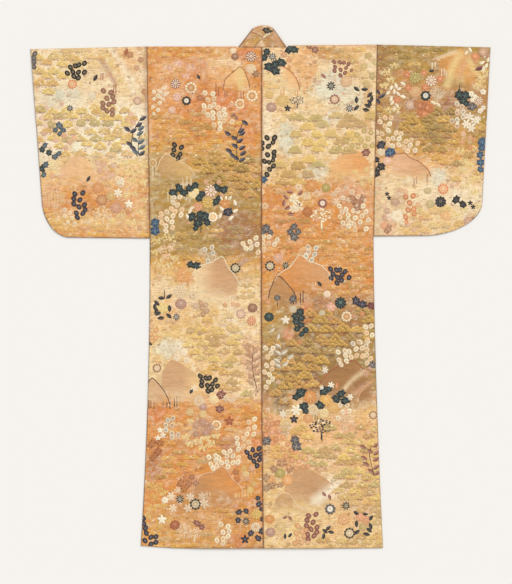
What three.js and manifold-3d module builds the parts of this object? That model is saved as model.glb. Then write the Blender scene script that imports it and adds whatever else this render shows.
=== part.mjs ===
// A Noh theatre robe of the karaori kind: T-shaped, lined, laid out flat with its back upwards.
// Millimetres. +X runs across the shoulders to the wearer's right, +Y towards the collar and
// +Z up from the surface that the robe lies on. The origin is under the middle of the robe.
import * as THREE from "three";
import { mergeVertices } from "three/addons/utils/BufferGeometryUtils.js";
import Module from "manifold-3d";

const wasm = await Module();
wasm.setup();

// ---- Cloth ----
const CLOTH = 1.6; // one layer, brocade and lining together
const SEAM = 0.3; // clearance between sewn pieces, and between layers that lie on each other
const LAYER = CLOTH + SEAM; // from the underside of one layer to the underside of the next
const ROUNDING = 1.6; // how far a folded edge curves in, above and below

// ---- Whole robe ----
const HEM = -794.5; // the hem's height in Y, between its corners
const COLLAR_TOP = 794.5;
const SLEEVE_REACH = 698.6; // from the middle to the end of either sleeve, along the shoulder
const CUFF_LENGTH = 230; // open end of a sleeve, from the shoulder down

// ---- Middle seam of the back: nearly straight, drifting a little to the wearer's right ----
const MIDDLE = { waist: 2.1, waistY: -15, neckDrift: 1.9, neckY: 729, hemDrift: 6.4, hemPower: 1.5 };

// ---- The two sides, which differ a little, as sewn and as laid out ----
const SIDES = {
  left: {
    sign: -1,
    armholeFoot: 148.5, // where the side seam ends and the armhole begins
    footHalf: 336.0, // half width there
    shoulderHalf: 345.0, // half width at the shoulder
    shoulderAtNeck: 730.0,
    shoulderAtSeam: 730.5,
    flare: 28.3, // extra half width at the hem
    flarePower: 2.2,
    hemRise: 8.7, // how far the hem curves up at its corner
    neckHalf: 68.4, // from the middle to the neck point
    cuffTop: 722.5, // the shoulder line at the sleeve's end
    sleeveFootSeam: 147.6, // the sleeve's lower edge, at the body and at its end
    sleeveFootEnd: 150.5,
    slant: 0.074, // how much the sleeve's end draws in, for each mm down
    cornerAcross: 78, // the rounded lower corner
    cornerUp: 105,
  },
  right: {
    sign: 1,
    armholeFoot: 154.9,
    footHalf: 343.4,
    shoulderHalf: 354.0,
    shoulderAtNeck: 732.5,
    shoulderAtSeam: 736.3,
    flare: 29.0,
    flarePower: 1.6,
    hemRise: 1.8,
    neckHalf: 80.6,
    cuffTop: 727.8,
    sleeveFootSeam: 154.0,
    sleeveFootEnd: 155.4,
    slant: 0.052,
    cornerAcross: 182,
    cornerUp: 100,
  },
};

// ---- Collar and neckline ----
const NECK_BACK = 727; // the back's edge at the neck
const NECK_SLOPE = 0.35; // the front neckline's run across, for each mm down
const COLLAR_WIDTH = 65;
const OVERLAP_EDGE = 160; // how far each overlap reaches past the middle
const COLLAR_ARM_HEIGHTS = [300, 380, 460, 540, 610, 665]; // up each front
const COLLAR_BACK_STEPS = 6;
const COLLAR_CROWN = 0.7; // how soon its free edge rises behind the neck, below 1 is sooner
const COLLAR_FOLDS = {
  // Where the collar turns over beside the neck: its foot, and its head on the free edge
  left: { foot: [-65.7, NECK_BACK + SEAM], head: [-21.5, 784.5] },
  right: { foot: [78.4, NECK_BACK + SEAM], head: [37.0, 785.5] },
};

// ---- How the layers lie ----
// Fractions of a panel's width, from the middle. Up to LAP the fronts lie double.
const LAP = 0.5;
const LAP_END = 0.625;
const BODY_COLUMNS = [0, 0.09, 0.2, 0.34, LAP, LAP_END, 0.75, 0.88, 1];
const BODY_ROWS = { skirt: 17, yoke: 11 };
const SLEEVE_COLUMNS = [0, 0.1, 0.22, 0.36, 0.5, 0.64, 0.78, 0.9, 1];
const SLEEVE_ROWS = { corner: 5, above: 9 };
const HEM_BEND = { from: 0.6, power: 1.5 }; // where a hem starts to rise towards its side seam
const OVERLAP_CELLS = { across: 3, along: 12 };
const COLLAR_CELLS_ACROSS = 2;

// ---- Soft folds of the upper side, lifted off the layer below ----
// middle of the fold, turn from +X in degrees, length, width and height
const FOLDS = [
  { x: -442, y: 664, turn: -67, long: 120, wide: 34, high: 2.2 },
  { x: -585, y: 560, turn: 82, long: 210, wide: 60, high: 1.4 },
  { x: -520, y: 300, turn: 20, long: 190, wide: 56, high: 1.5 },
  { x: -395, y: 420, turn: 86, long: 240, wide: 44, high: 1.3 },
  { x: 576, y: 650, turn: -50, long: 150, wide: 42, high: 2.1 },
  { x: 372, y: 590, turn: 89, long: 270, wide: 34, high: 1.7 },
  { x: 600, y: 420, turn: 95, long: 220, wide: 60, high: 1.3 },
  { x: 470, y: 270, turn: -18, long: 200, wide: 54, high: 1.5 },
  { x: -262, y: 560, turn: 98, long: 220, wide: 58, high: 1.5 },
  { x: -120, y: 330, turn: 84, long: 260, wide: 60, high: 1.2 },
  { x: -205, y: 20, turn: 75, long: 260, wide: 62, high: 1.5 },
  { x: -90, y: -290, turn: 96, long: 300, wide: 56, high: 1.3 },
  { x: -270, y: -430, turn: 88, long: 320, wide: 60, high: 1.7 },
  { x: -150, y: -690, turn: 92, long: 190, wide: 52, high: 1.6 },
  { x: 150, y: 600, turn: 80, long: 200, wide: 56, high: 1.3 },
  { x: 270, y: 330, turn: 94, long: 240, wide: 58, high: 1.4 },
  { x: 120, y: 90, turn: 100, long: 260, wide: 60, high: 1.3 },
  { x: 292, y: -262, turn: -24, long: 150, wide: 46, high: 2.1 },
  { x: 130, y: -420, turn: 85, long: 300, wide: 58, high: 1.4 },
  { x: 255, y: -650, turn: 90, long: 240, wide: 54, high: 1.7 },
];

const COLOURS = {
  body: 0xdca765,
  sleeve: 0xe3b06c,
  overlap: 0xd39a58,
  collar: 0xe0a466,
};

const clamp01 = (value) => Math.min(1, Math.max(0, value));
const mix = (from, to, share) => from + (to - from) * share;
const smooth = (share) => share * share * (3 - 2 * share);
const radians = (degrees) => (degrees * Math.PI) / 180;

function cloth(colour) {
  return new THREE.MeshStandardMaterial({ color: colour, roughness: 0.72, metalness: 0 });
}

/** X of the back's middle seam at a height. */
function middleX(y) {
  if (y > MIDDLE.waistY) {
    return MIDDLE.waist + (MIDDLE.neckDrift * (y - MIDDLE.waistY)) / (MIDDLE.neckY - MIDDLE.waistY);
  }
  const down = (MIDDLE.waistY - y) / (MIDDLE.waistY - HEM);
  return MIDDLE.waist + MIDDLE.hemDrift * down ** MIDDLE.hemPower;
}

/** Half width of one side of the body at a height. */
function sideHalf(side, y) {
  if (y > side.armholeFoot) {
    const up = (y - side.armholeFoot) / (side.shoulderAtSeam - side.armholeFoot);
    return mix(side.footHalf, side.shoulderHalf, up);
  }
  const down = (side.armholeFoot - y) / (side.armholeFoot - HEM);
  return side.footHalf + side.flare * down ** side.flarePower;
}

/** How far the folds lift the upper side at a point. */
function lift(x, y) {
  let total = 0;
  for (const fold of FOLDS) {
    const turn = radians(fold.turn);
    const along = (x - fold.x) * Math.cos(turn) + (y - fold.y) * Math.sin(turn);
    const across = (y - fold.y) * Math.cos(turn) - (x - fold.x) * Math.sin(turn);
    const reach = 1 - (2 * along / fold.long) ** 2;
    if (reach > 0) {
      total += fold.high * reach ** 2 * Math.exp(-((2 * across / fold.wide) ** 2));
    }
  }
  return total;
}

/** A closed mesh from points and triangles that share them. */
function solid(points, triangles) {
  const geometry = new THREE.BufferGeometry();
  geometry.setAttribute("position", new THREE.Float32BufferAttribute(points.flat(), 3));
  geometry.setIndex(triangles.flat());
  return geometry;
}

/** Lists that collect a solid's points and faces. */
function collector() {
  const points = [];
  const triangles = [];
  return {
    points,
    triangles,
    point(at) {
      points.push(at);
      return points.length - 1;
    },
    ring(corners) {
      for (let k = 2; k < corners.length; k += 1) {
        triangles.push([corners[0], corners[k - 1], corners[k]]);
      }
    },
  };
}

/** The grid's boundary, counter-clockwise seen from above, as [column, row, edge that follows]. */
function boundary(columns, rows) {
  const loop = [];
  for (let i = 0; i < columns; i += 1) loop.push([i, 0, "foot"]);
  for (let j = 0; j < rows; j += 1) loop.push([columns, j, "east"]);
  for (let i = columns; i > 0; i -= 1) loop.push([i, rows, "head"]);
  for (let j = rows; j > 0; j -= 1) loop.push([0, j, "west"]);
  return loop;
}

/**
 * A piece folded double, as one wall: a lower and an upper layer over one plan, joined along
 * the edges that are folded or sewn, and open along the others.
 * plan(i, j) is a point's [x, y], lower(i, j) and upper(i, j) are the layers' undersides, and
 * joined(edge, y) says whether an edge of the boundary is closed at that height.
 */
function doubled(columns, rows, plan, lower, upper, joined) {
  const build = collector();
  const loop = boundary(columns, rows);
  const count = loop.length;
  const flat = loop.map(([i, j]) => plan(i, j));
  const closed = loop.map(([, , edge], k) => joined(edge, (flat[k][1] + flat[(k + 1) % count][1]) / 2));

  // Which way, and how far, each boundary point moves in where the edge is closed.
  const inward = new Map();
  loop.forEach(([i, j], k) => {
    let nx = 0;
    let ny = 0;
    for (const edge of [(k + count - 1) % count, k]) {
      if (!closed[edge]) continue;
      const [ax, ay] = flat[edge];
      const [bx, by] = flat[(edge + 1) % count];
      const length = Math.hypot(bx - ax, by - ay);
      nx -= (by - ay) / length;
      ny += (bx - ax) / length;
    }
    const size = Math.hypot(nx, ny);
    inward.set(`${i},${j}`, size > 0 ? [nx / size, ny / size] : [0, 0]);
  });

  const inset = (i, j, distance, z) => {
    const [x, y] = plan(i, j);
    const [nx, ny] = inward.get(`${i},${j}`) ?? [0, 0];
    return build.point([x + nx * distance, y + ny * distance, z]);
  };
  const sheet = (distance, height) => {
    const ids = [];
    for (let j = 0; j <= rows; j += 1) {
      ids.push([]);
      for (let i = 0; i <= columns; i += 1) ids[j].push(inset(i, j, distance, height(i, j)));
    }
    return (i, j) => ids[j][i];
  };
  const under = sheet(ROUNDING, lower);
  const floor = sheet(CLOTH, (i, j) => lower(i, j) + CLOTH);
  const ceiling = sheet(CLOTH, upper);
  const top = sheet(ROUNDING, (i, j) => upper(i, j) + CLOTH);

  for (let j = 0; j < rows; j += 1) {
    for (let i = 0; i < columns; i += 1) {
      for (const face of [floor, top]) {
        build.ring([face(i, j), face(i + 1, j), face(i + 1, j + 1), face(i, j + 1)]);
      }
      for (const face of [under, ceiling]) {
        build.ring([face(i, j), face(i, j + 1), face(i + 1, j + 1), face(i + 1, j)]);
      }
    }
  }

  // The rounded outside of a closed edge, in three facets, and the fold inside it.
  const bulge = loop.map(([i, j], k) => {
    if (!closed[k] && !closed[(k + count - 1) % count]) return [];
    const middle = (lower(i, j) + upper(i, j) + CLOTH) / 2;
    const half = middle - lower(i, j);
    return [-30, 30].map((degrees) => {
      const turn = radians(degrees);
      return inset(i, j, ROUNDING * (1 - Math.cos(turn)), middle + half * Math.sin(turn));
    });
  });
  loop.forEach(([i, j], k) => {
    const next = (k + 1) % count;
    const [p, q] = [loop[next][0], loop[next][1]];
    if (closed[k]) {
      const from = [under(i, j), ...bulge[k], top(i, j)];
      const to = [under(p, q), ...bulge[next], top(p, q)];
      for (let s = 0; s < 3; s += 1) build.ring([from[s], to[s], to[s + 1], from[s + 1]]);
      build.ring([floor(i, j), ceiling(i, j), ceiling(p, q), floor(p, q)]);
    } else {
      build.ring([under(i, j), under(p, q), floor(p, q), floor(i, j)]);
      build.ring([ceiling(i, j), ceiling(p, q), top(p, q), top(i, j)]);
    }
    const before = closed[(k + count - 1) % count];
    if (before !== closed[k]) {
      const end = [under(i, j), ...bulge[k], top(i, j), ceiling(i, j), floor(i, j)];
      // The fan starts at the inner corner, so that no facet of it folds back.
      const fan = [end[5], ...end.slice(0, 5)];
      build.ring(closed[k] ? fan : fan.reverse());
    }
  });
  return solid(build.points, build.triangles);
}

/**
 * A single layer from stations, each a line across the cloth with its middle surface's normal.
 * A station is { from, to, normal }, and the cloth runs from one station to the next.
 */
function band(stations, across) {
  const build = collector();
  const face = (side) => stations.map(({ from, to, normal }) => {
    const row = [];
    for (let i = 0; i <= across; i += 1) {
      const at = from.map((value, axis) => mix(value, to[axis], i / across));
      row.push(build.point(at.map((value, axis) => value + (side * CLOTH * normal[axis]) / 2)));
    }
    return row;
  });
  const front = face(1);
  const rear = face(-1);
  const last = stations.length - 1;
  for (let k = 0; k < last; k += 1) {
    for (let i = 0; i < across; i += 1) {
      build.ring([front[k][i], front[k][i + 1], front[k + 1][i + 1], front[k + 1][i]]);
      build.ring([rear[k][i], rear[k + 1][i], rear[k + 1][i + 1], rear[k][i + 1]]);
    }
    build.ring([rear[k][0], front[k][0], front[k + 1][0], rear[k + 1][0]]);
    build.ring([rear[k][across], rear[k + 1][across], front[k + 1][across], front[k][across]]);
  }
  for (let i = 0; i < across; i += 1) {
    build.ring([rear[0][i], rear[0][i + 1], front[0][i + 1], front[0][i]]);
    build.ring([rear[last][i], front[last][i], front[last][i + 1], rear[last][i + 1]]);
  }
  return solid(build.points, build.triangles);
}

function toManifold(geometry) {
  const bare = geometry.clone();
  bare.deleteAttribute("normal");
  bare.deleteAttribute("uv");
  const merged = mergeVertices(bare, 1e-5);
  return new wasm.Manifold(new wasm.Mesh({
    numProp: 3,
    vertProperties: new Float32Array(merged.attributes.position.array),
    triVerts: new Uint32Array(merged.index.array),
  }));
}

function fromManifold(manifold) {
  const mesh = manifold.getMesh();
  const geometry = new THREE.BufferGeometry();
  geometry.setAttribute("position", new THREE.BufferAttribute(mesh.vertProperties, 3));
  geometry.setIndex(new THREE.BufferAttribute(mesh.triVerts, 1));
  return geometry;
}

/** An upright block over an outline, between two heights. */
function block(outline, bottom, height) {
  const shape = new THREE.Shape(outline.map(([x, y]) => new THREE.Vector2(x, y)));
  const geometry = new THREE.ExtrudeGeometry(shape, { depth: height, bevelEnabled: false });
  geometry.translate(0, 0, bottom);
  return toManifold(geometry);
}

/** How many layers lie under one panel, at a fraction of its width from the middle. */
function lapped(fraction) {
  return 1 - smooth(clamp01((fraction - LAP) / (LAP_END - LAP)));
}

/** The front neckline: its X at a height, which the collar's seam follows too. */
function neckX(side, y) {
  return side.sign * (side.neckHalf - NECK_SLOPE * (NECK_BACK - y));
}

function neckY(side, x) {
  return NECK_BACK - (side.neckHalf - side.sign * x) / NECK_SLOPE;
}

/** Back and front of one side: one length over the shoulder, with its neckline cut out. */
function bodyPanel(side) {
  const columns = BODY_COLUMNS.length - 1;
  const rows = BODY_ROWS.skirt + BODY_ROWS.yoke;
  const west = side.sign > 0 ? (i) => BODY_COLUMNS[i] : (i) => BODY_COLUMNS[columns - i];
  const plan = (i, j) => {
    const share = west(i);
    const corner = clamp01((share - HEM_BEND.from) / (1 - HEM_BEND.from)) ** HEM_BEND.power;
    const hem = HEM + side.hemRise * corner;
    const shoulder = mix(side.shoulderAtNeck, side.shoulderAtSeam, share);
    const y = j <= BODY_ROWS.skirt
      ? mix(hem, side.armholeFoot, j / BODY_ROWS.skirt)
      : mix(side.armholeFoot, shoulder, (j - BODY_ROWS.skirt) / BODY_ROWS.yoke);
    const inner = middleX(y) + (side.sign * SEAM) / 2;
    return [mix(inner, side.sign * sideHalf(side, y), share), y];
  };
  const lower = (i) => (side.sign > 0 ? LAYER * lapped(west(i)) : 0);
  const upper = (i, j) => LAYER * (1 + lapped(west(i))) + lift(...plan(i, j));
  const outer = side.sign > 0 ? "east" : "west";
  const joined = (edge, y) => edge === "head" || (edge === outer && y < side.armholeFoot);
  const panel = toManifold(doubled(columns, rows, plan, lower, upper, joined));

  const past = 10; // the cutters run this far past the cloth
  const inside = middleX(NECK_BACK) - side.sign * past;
  const neck = side.sign * side.neckHalf;
  const above = NECK_BACK + past;
  const edge = block([[neck, NECK_BACK], [inside, NECK_BACK], [inside, above], [neck, above]],
    -past, 3 * past);
  const belowBack = 2 * LAYER - SEAM / 2;
  const front = block([[neck, NECK_BACK], [inside, neckY(side, inside)], [inside, above], [neck, above]],
    -past, past + belowBack);
  return fromManifold(panel.subtract(edge).subtract(front));
}

/** One sleeve: a length folded at the shoulder line, sewn below and up its end to the cuff. */
function sleeve(side) {
  const columns = SLEEVE_COLUMNS.length - 1;
  const rows = SLEEVE_ROWS.corner + SLEEVE_ROWS.above;
  const out = side.sign > 0 ? (i) => SLEEVE_COLUMNS[i] : (i) => SLEEVE_COLUMNS[columns - i];
  const plan = (i, j) => {
    const share = out(i);
    const foot = mix(side.sleeveFootSeam, side.sleeveFootEnd, share);
    const head = mix(side.shoulderAtSeam, side.cuffTop, share);
    const turn = radians((90 * Math.min(j, SLEEVE_ROWS.corner)) / SLEEVE_ROWS.corner);
    const above = Math.max(0, j - SLEEVE_ROWS.corner) / SLEEVE_ROWS.above;
    const rise = foot + side.cornerUp * (1 - Math.cos(turn));
    const y = mix(rise, head, above);
    const draw = side.slant * (side.cuffTop - y) + side.cornerAcross * (1 - Math.sin(turn));
    const seam = sideHalf(side, y) + SEAM;
    return [side.sign * mix(seam, SLEEVE_REACH - draw, share), y];
  };
  const upper = (i, j) => LAYER + lift(...plan(i, j));
  const outer = side.sign > 0 ? "east" : "west";
  const joined = (edge, y) => edge === "head" || edge === "foot"
    || (edge === outer && y < side.cuffTop - CUFF_LENGTH);
  return doubled(columns, rows, plan, () => 0, upper, joined);
}

/** The half-width strip that widens a front past the middle, up to the collar. */
function overlap(side, height) {
  const middle = height + CLOTH / 2;
  const stations = [];
  for (let k = 0; k <= OVERLAP_CELLS.along; k += 1) {
    const share = k / OVERLAP_CELLS.along;
    const end = (x) => mix(HEM, neckY(side, x), share);
    const far = -side.sign * OVERLAP_EDGE;
    const near = middleX(end(0)) - (side.sign * SEAM) / 2;
    const ends = [[near, end(near), middle], [far, end(far), middle]];
    const [from, to] = side.sign < 0 ? ends : ends.reverse();
    stations.push({ from, to, normal: [0, 0, 1] });
  }
  return band(stations, OVERLAP_CELLS.across);
}

/** Stations of the collar along one front, from its lower end up to the fold beside the neck. */
function collarArm(side, height) {
  const run = Math.hypot(NECK_SLOPE, 1);
  const outward = [-side.sign / run, NECK_SLOPE / run]; // across the band, away from the front
  const far = -side.sign * OVERLAP_EDGE;
  const free = (x) => neckY(side, x) + COLLAR_WIDTH * run / NECK_SLOPE;
  const z = height + CLOTH / 2;
  const stations = [{ from: [far, neckY(side, far) + SEAM / NECK_SLOPE, z], to: [far, free(far), z] }];
  for (const y of COLLAR_ARM_HEIGHTS) {
    const seam = [neckX(side, y) + outward[0] * SEAM, y + outward[1] * SEAM];
    stations.push({
      from: [...seam, z],
      to: [seam[0] + outward[0] * COLLAR_WIDTH, seam[1] + outward[1] * COLLAR_WIDTH, z],
    });
  }
  return stations.map((station) => ({ ...station, normal: [0, 0, 1] }));
}

/** Stations round the fold beside the neck, from the layer under the back to the back's own. */
function collarFold(fold, sign, low, high) {
  const radius = (high - low) / 2;
  const [dx, dy] = [fold.head[0] - fold.foot[0], fold.head[1] - fold.foot[1]];
  const length = Math.hypot(dx, dy);
  const out = [(sign * dy) / length, (-sign * dx) / length];
  const facets = 4;
  const stations = [];
  for (let k = 0; k <= facets; k += 1) {
    const turn = (Math.PI * k) / facets;
    const shift = radius * Math.sin(turn);
    const z = low + CLOTH / 2 + radius * (1 - Math.cos(turn));
    const move = ([x, y]) => [x + out[0] * shift, y + out[1] * shift, z];
    const normal = [-out[0] * Math.sin(turn), -out[1] * Math.sin(turn), Math.cos(turn)];
    stations.push({ from: move(fold.foot), to: move(fold.head), normal });
  }
  return stations;
}

/** One strip: up the left front, over behind the neck and down the right front. */
function collar() {
  const { left, right } = COLLAR_FOLDS;
  const back = [];
  for (let k = 1; k < COLLAR_BACK_STEPS; k += 1) {
    const share = k / COLLAR_BACK_STEPS;
    const crown = Math.sin(Math.PI * share) ** COLLAR_CROWN;
    const head = [mix(left.head[0], right.head[0], share), mix(left.head[1], right.head[1], share)];
    const rise = (COLLAR_TOP - (left.head[1] + right.head[1]) / 2) * crown;
    const z = 2 * LAYER + CLOTH / 2;
    back.push({
      from: [mix(left.foot[0], right.foot[0], share), NECK_BACK + SEAM, z],
      to: [head[0], Math.min(head[1] + rise, COLLAR_TOP), z],
      normal: [0, 0, -1],
    });
  }
  const stations = [
    ...collarArm(SIDES.left, 0),
    ...collarFold(left, -1, 0, 2 * LAYER),
    ...back,
    ...collarFold(right, 1, LAYER, 2 * LAYER).reverse(),
    ...collarArm(SIDES.right, LAYER).reverse(),
  ];
  return band(stations, COLLAR_CELLS_ACROSS);
}

const robe = new THREE.Group();

function add(name, geometry, colour) {
  const mesh = new THREE.Mesh(geometry, cloth(colour));
  mesh.name = name;
  robe.add(mesh);
}

add("left_body_panel", bodyPanel(SIDES.left), COLOURS.body);
add("right_body_panel", bodyPanel(SIDES.right), COLOURS.body);
add("left_sleeve", sleeve(SIDES.left), COLOURS.sleeve);
add("right_sleeve", sleeve(SIDES.right), COLOURS.sleeve);
add("left_overlap", overlap(SIDES.left, 0), COLOURS.overlap);
add("right_overlap", overlap(SIDES.right, LAYER), COLOURS.overlap);
add("collar", collar(), COLOURS.collar);

export default robe;
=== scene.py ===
"""Looks of a Noh theatre robe of the karaori kind, laid out flat with its back upwards.

Lengths are millimetres until a mesh is made. +X runs across the shoulders to the wearer's right,
+Y towards the collar and +Z up. The woven pattern is charted in steps, counted from the left and
from the top, and STEP is one step's real size.
"""

import math

import bpy
import numpy as np
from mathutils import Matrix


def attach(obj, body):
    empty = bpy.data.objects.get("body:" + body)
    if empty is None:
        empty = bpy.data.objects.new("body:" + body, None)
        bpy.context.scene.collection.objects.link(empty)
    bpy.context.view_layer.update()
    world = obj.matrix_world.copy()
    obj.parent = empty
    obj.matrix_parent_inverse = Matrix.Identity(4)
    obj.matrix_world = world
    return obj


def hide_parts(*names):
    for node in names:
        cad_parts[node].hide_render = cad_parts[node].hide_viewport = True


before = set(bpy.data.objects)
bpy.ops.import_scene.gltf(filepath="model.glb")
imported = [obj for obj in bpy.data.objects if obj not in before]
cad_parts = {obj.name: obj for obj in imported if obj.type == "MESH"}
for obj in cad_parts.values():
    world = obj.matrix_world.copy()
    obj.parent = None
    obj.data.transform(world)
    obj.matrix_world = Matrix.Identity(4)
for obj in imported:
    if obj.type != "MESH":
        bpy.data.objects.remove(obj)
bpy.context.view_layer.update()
METRE = 0.001  # a millimetre in metres

# ---- Form: the same driving sizes as the solids ----
CLOTH = 1.6  # one layer, brocade and lining together
SEAM = 0.3  # the gap between sewn pieces, and between layers
LAYER = CLOTH + SEAM
ROUNDING = 1.6  # how far in the rounding of a folded edge reaches
HEM = -794.5
COLLAR_TOP = 794.5
SLEEVE_REACH = 698.6
CUFF_LENGTH = 230
MIDDLE = {  # the back's middle seam, which wanders a little
    "waist": 2.1, "waist_y": -15, "neck_drift": 1.9, "neck_y": 729, "hem_drift": 6.4, "hem_power": 1.5,
}
SIDES = {
    "left": {
        "sign": -1, "foot": 148.5, "foot_half": 336.0, "shoulder_half": 345.0,
        "shoulder_neck": 730.0, "shoulder_seam": 730.5, "flare": 28.3, "flare_power": 2.2,
        "hem_rise": 8.7, "neck_half": 68.4, "cuff_top": 722.5, "sleeve_foot_seam": 147.6,
        "sleeve_foot_end": 150.5, "slant": 0.074, "corner_across": 78, "corner_up": 105,
    },
    "right": {
        "sign": 1, "foot": 154.9, "foot_half": 343.4, "shoulder_half": 354.0,
        "shoulder_neck": 732.5, "shoulder_seam": 736.3, "flare": 29.0, "flare_power": 1.6,
        "hem_rise": 1.8, "neck_half": 80.6, "cuff_top": 727.8, "sleeve_foot_seam": 154.0,
        "sleeve_foot_end": 155.4, "slant": 0.052, "corner_across": 182, "corner_up": 100,
    },
}
NECK_BACK = 727
NECK_SLOPE = 0.35  # how steeply the neckline runs out to the overlaps
COLLAR_WIDTH = 65
OVERLAP_EDGE = 160
COLLAR_FOLDS = {
    "left": {"foot": (-65.7, NECK_BACK + SEAM), "head": (-21.5, 784.5)},
    "right": {"foot": (78.4, NECK_BACK + SEAM), "head": (37.0, 785.5)},
}
LAP = 0.5  # up to this share of its width, a panel lies on the other side's overlap
LAP_END = 0.625  # from this share on, it is down again
UNDER_RISE = 0.4  # leaves room for the floating threads on the side that lies down

# Soft folds of the upper side: x, y, turn from +X in degrees, length, width, height
FOLDS = [
    (-442, 664, -67, 120, 34, 2.2), (-585, 560, 82, 210, 60, 1.4), (-520, 300, 20, 190, 56, 1.5),
    (-395, 420, 86, 240, 44, 1.3), (576, 650, -50, 150, 42, 2.1), (372, 590, 89, 270, 34, 1.7),
    (600, 420, 95, 220, 60, 1.3), (470, 270, -18, 200, 54, 1.5), (-262, 560, 98, 220, 58, 1.5),
    (-120, 330, 84, 260, 60, 1.2), (-205, 20, 75, 260, 62, 1.5), (-90, -290, 96, 300, 56, 1.3),
    (-270, -430, 88, 320, 60, 1.7), (-150, -690, 92, 190, 52, 1.6), (150, 600, 80, 200, 56, 1.3),
    (270, 330, 94, 240, 58, 1.4), (120, 90, 100, 260, 60, 1.3), (292, -262, -24, 150, 46, 2.1),
    (130, -420, 85, 300, 58, 1.4), (255, -650, 90, 240, 54, 1.7),
]
# Fine creases between them, shallow troughs where the height is negative
CREASES = [
    (-455, 690, -64, 90, 9, -0.5), (-425, 640, -66, 90, 8, 0.5), (-560, 690, -25, 130, 14, 0.5),
    (-640, 480, 84, 180, 16, 0.5), (-470, 230, 12, 150, 14, -0.5), (-350, 520, 90, 380, 9, 0.7),
    (596, 690, -46, 110, 10, 0.6), (560, 620, -52, 120, 10, -0.5), (640, 560, 88, 200, 16, 0.5),
    (362, 440, 90, 460, 8, 0.6), (420, 330, 80, 160, 14, 0.5), (-300, 300, 88, 240, 16, 0.5),
    (-60, 560, 92, 260, 16, 0.4), (-180, -150, 84, 280, 18, 0.6), (-320, -640, 88, 240, 18, -0.5),
    (-60, -620, 90, 300, 16, 0.5), (60, 420, 88, 300, 16, 0.5), (210, -40, 94, 280, 18, 0.5),
    (280, -290, -22, 120, 9, 0.6), (318, -250, -26, 110, 9, -0.5), (330, -520, 88, 280, 16, 0.5),
    (60, -640, 92, 260, 16, 0.5), (190, -730, 85, 120, 18, 0.6), (-230, -745, 95, 90, 16, 0.5),
]

# ---- The pattern's chart ----
STEP = 3.04  # one step of the chart
CHART_MIDDLE = (260.5, 286.9)  # the column and the row that cross over the origin

HUES = {  # sRGB
    "cream": "F8DEB0", "pale": "FFF3D6", "orange": "E09246", "flame": "E0824E", "peach": "F2BC80",
    "gold": "E2AE48", "olive": "B28E42", "moss": "9C843E", "brown": "9A6848", "plum": "9A5E50",
    "wine": "7C443E", "ink": "26232E", "mint": "E6E5CE", "mauve": "B48878", "tan": "CFA074",
    "umber": "BC8A58", "honey": "EFC888", "rose": "E8B492", "amber": "DEA34E", "rust": "B0603E",
    "straw": "F2D492", "lemon": "F0CC62", "dusk": "76603A", "bark": "A67646", "wheat": "DFBC66",
    "sage": "C2AE62", "bronze": "C09850", "blush": "F2CBAA",
}
# What a floating motif is woven in: outer threads, inner threads
DYES = {
    "black": ("28221C", "B8A584"), "ink": ("322E2C", "7A7268"), "navy": ("38323A", "968E92"),
    "blue": ("425C76", "8CA2AC"), "teal": ("2C3432", "74867A"), "slate": ("665E5A", "BEB4A4"),
    "brown": ("9C6C54", "DEBA94"), "plum": ("945C4C", "DCB094"), "wine": ("74403A", "B98070"),
    "mauve": ("C29480", "ECD2B8"), "cream": ("FFF0CE", "D09A5C"), "white": ("FFF4DC", "F0D09A"),
    "orange": ("DE9552", "F6C88E"), "flame": ("DE8854", "F8CDA4"), "gold": ("DEAE52", "F2D588"),
    "yellow": ("EED084", "FBE9B4"), "olive": ("B09A54", "E0CC8C"), "mint": ("EEE8CC", "F8F0D0"),
    "willow": ("EADFC6", "8E6C54"), "peach": ("F2BE8E", "FCE0B8"), "pink": ("E8AC90", "FADCC4"),
    "rust": ("AC6242", "D79A6C"), "amber": ("DFAA5E", "F6D08C"), "straw": ("F4DA9A", "FFF0BC"),
    "russet": ("A8684C", "FFF0D6"), "steel": ("525E66", "A4ACA6"), "fawn": ("D2A074", "FFF0DA"),
}


def linear(code):
    """An sRGB colour code as linear light."""
    value = np.array([int(code[k:k + 2], 16) / 255 for k in (0, 2, 4)])
    return np.where(value <= 0.04045, value / 12.92, ((value + 0.055) / 1.055) ** 2.4)


HUE = {name: linear(code) for name, code in HUES.items()}
DYE = {name: (linear(a), linear(b)) for name, (a, b) in DYES.items()}

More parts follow.
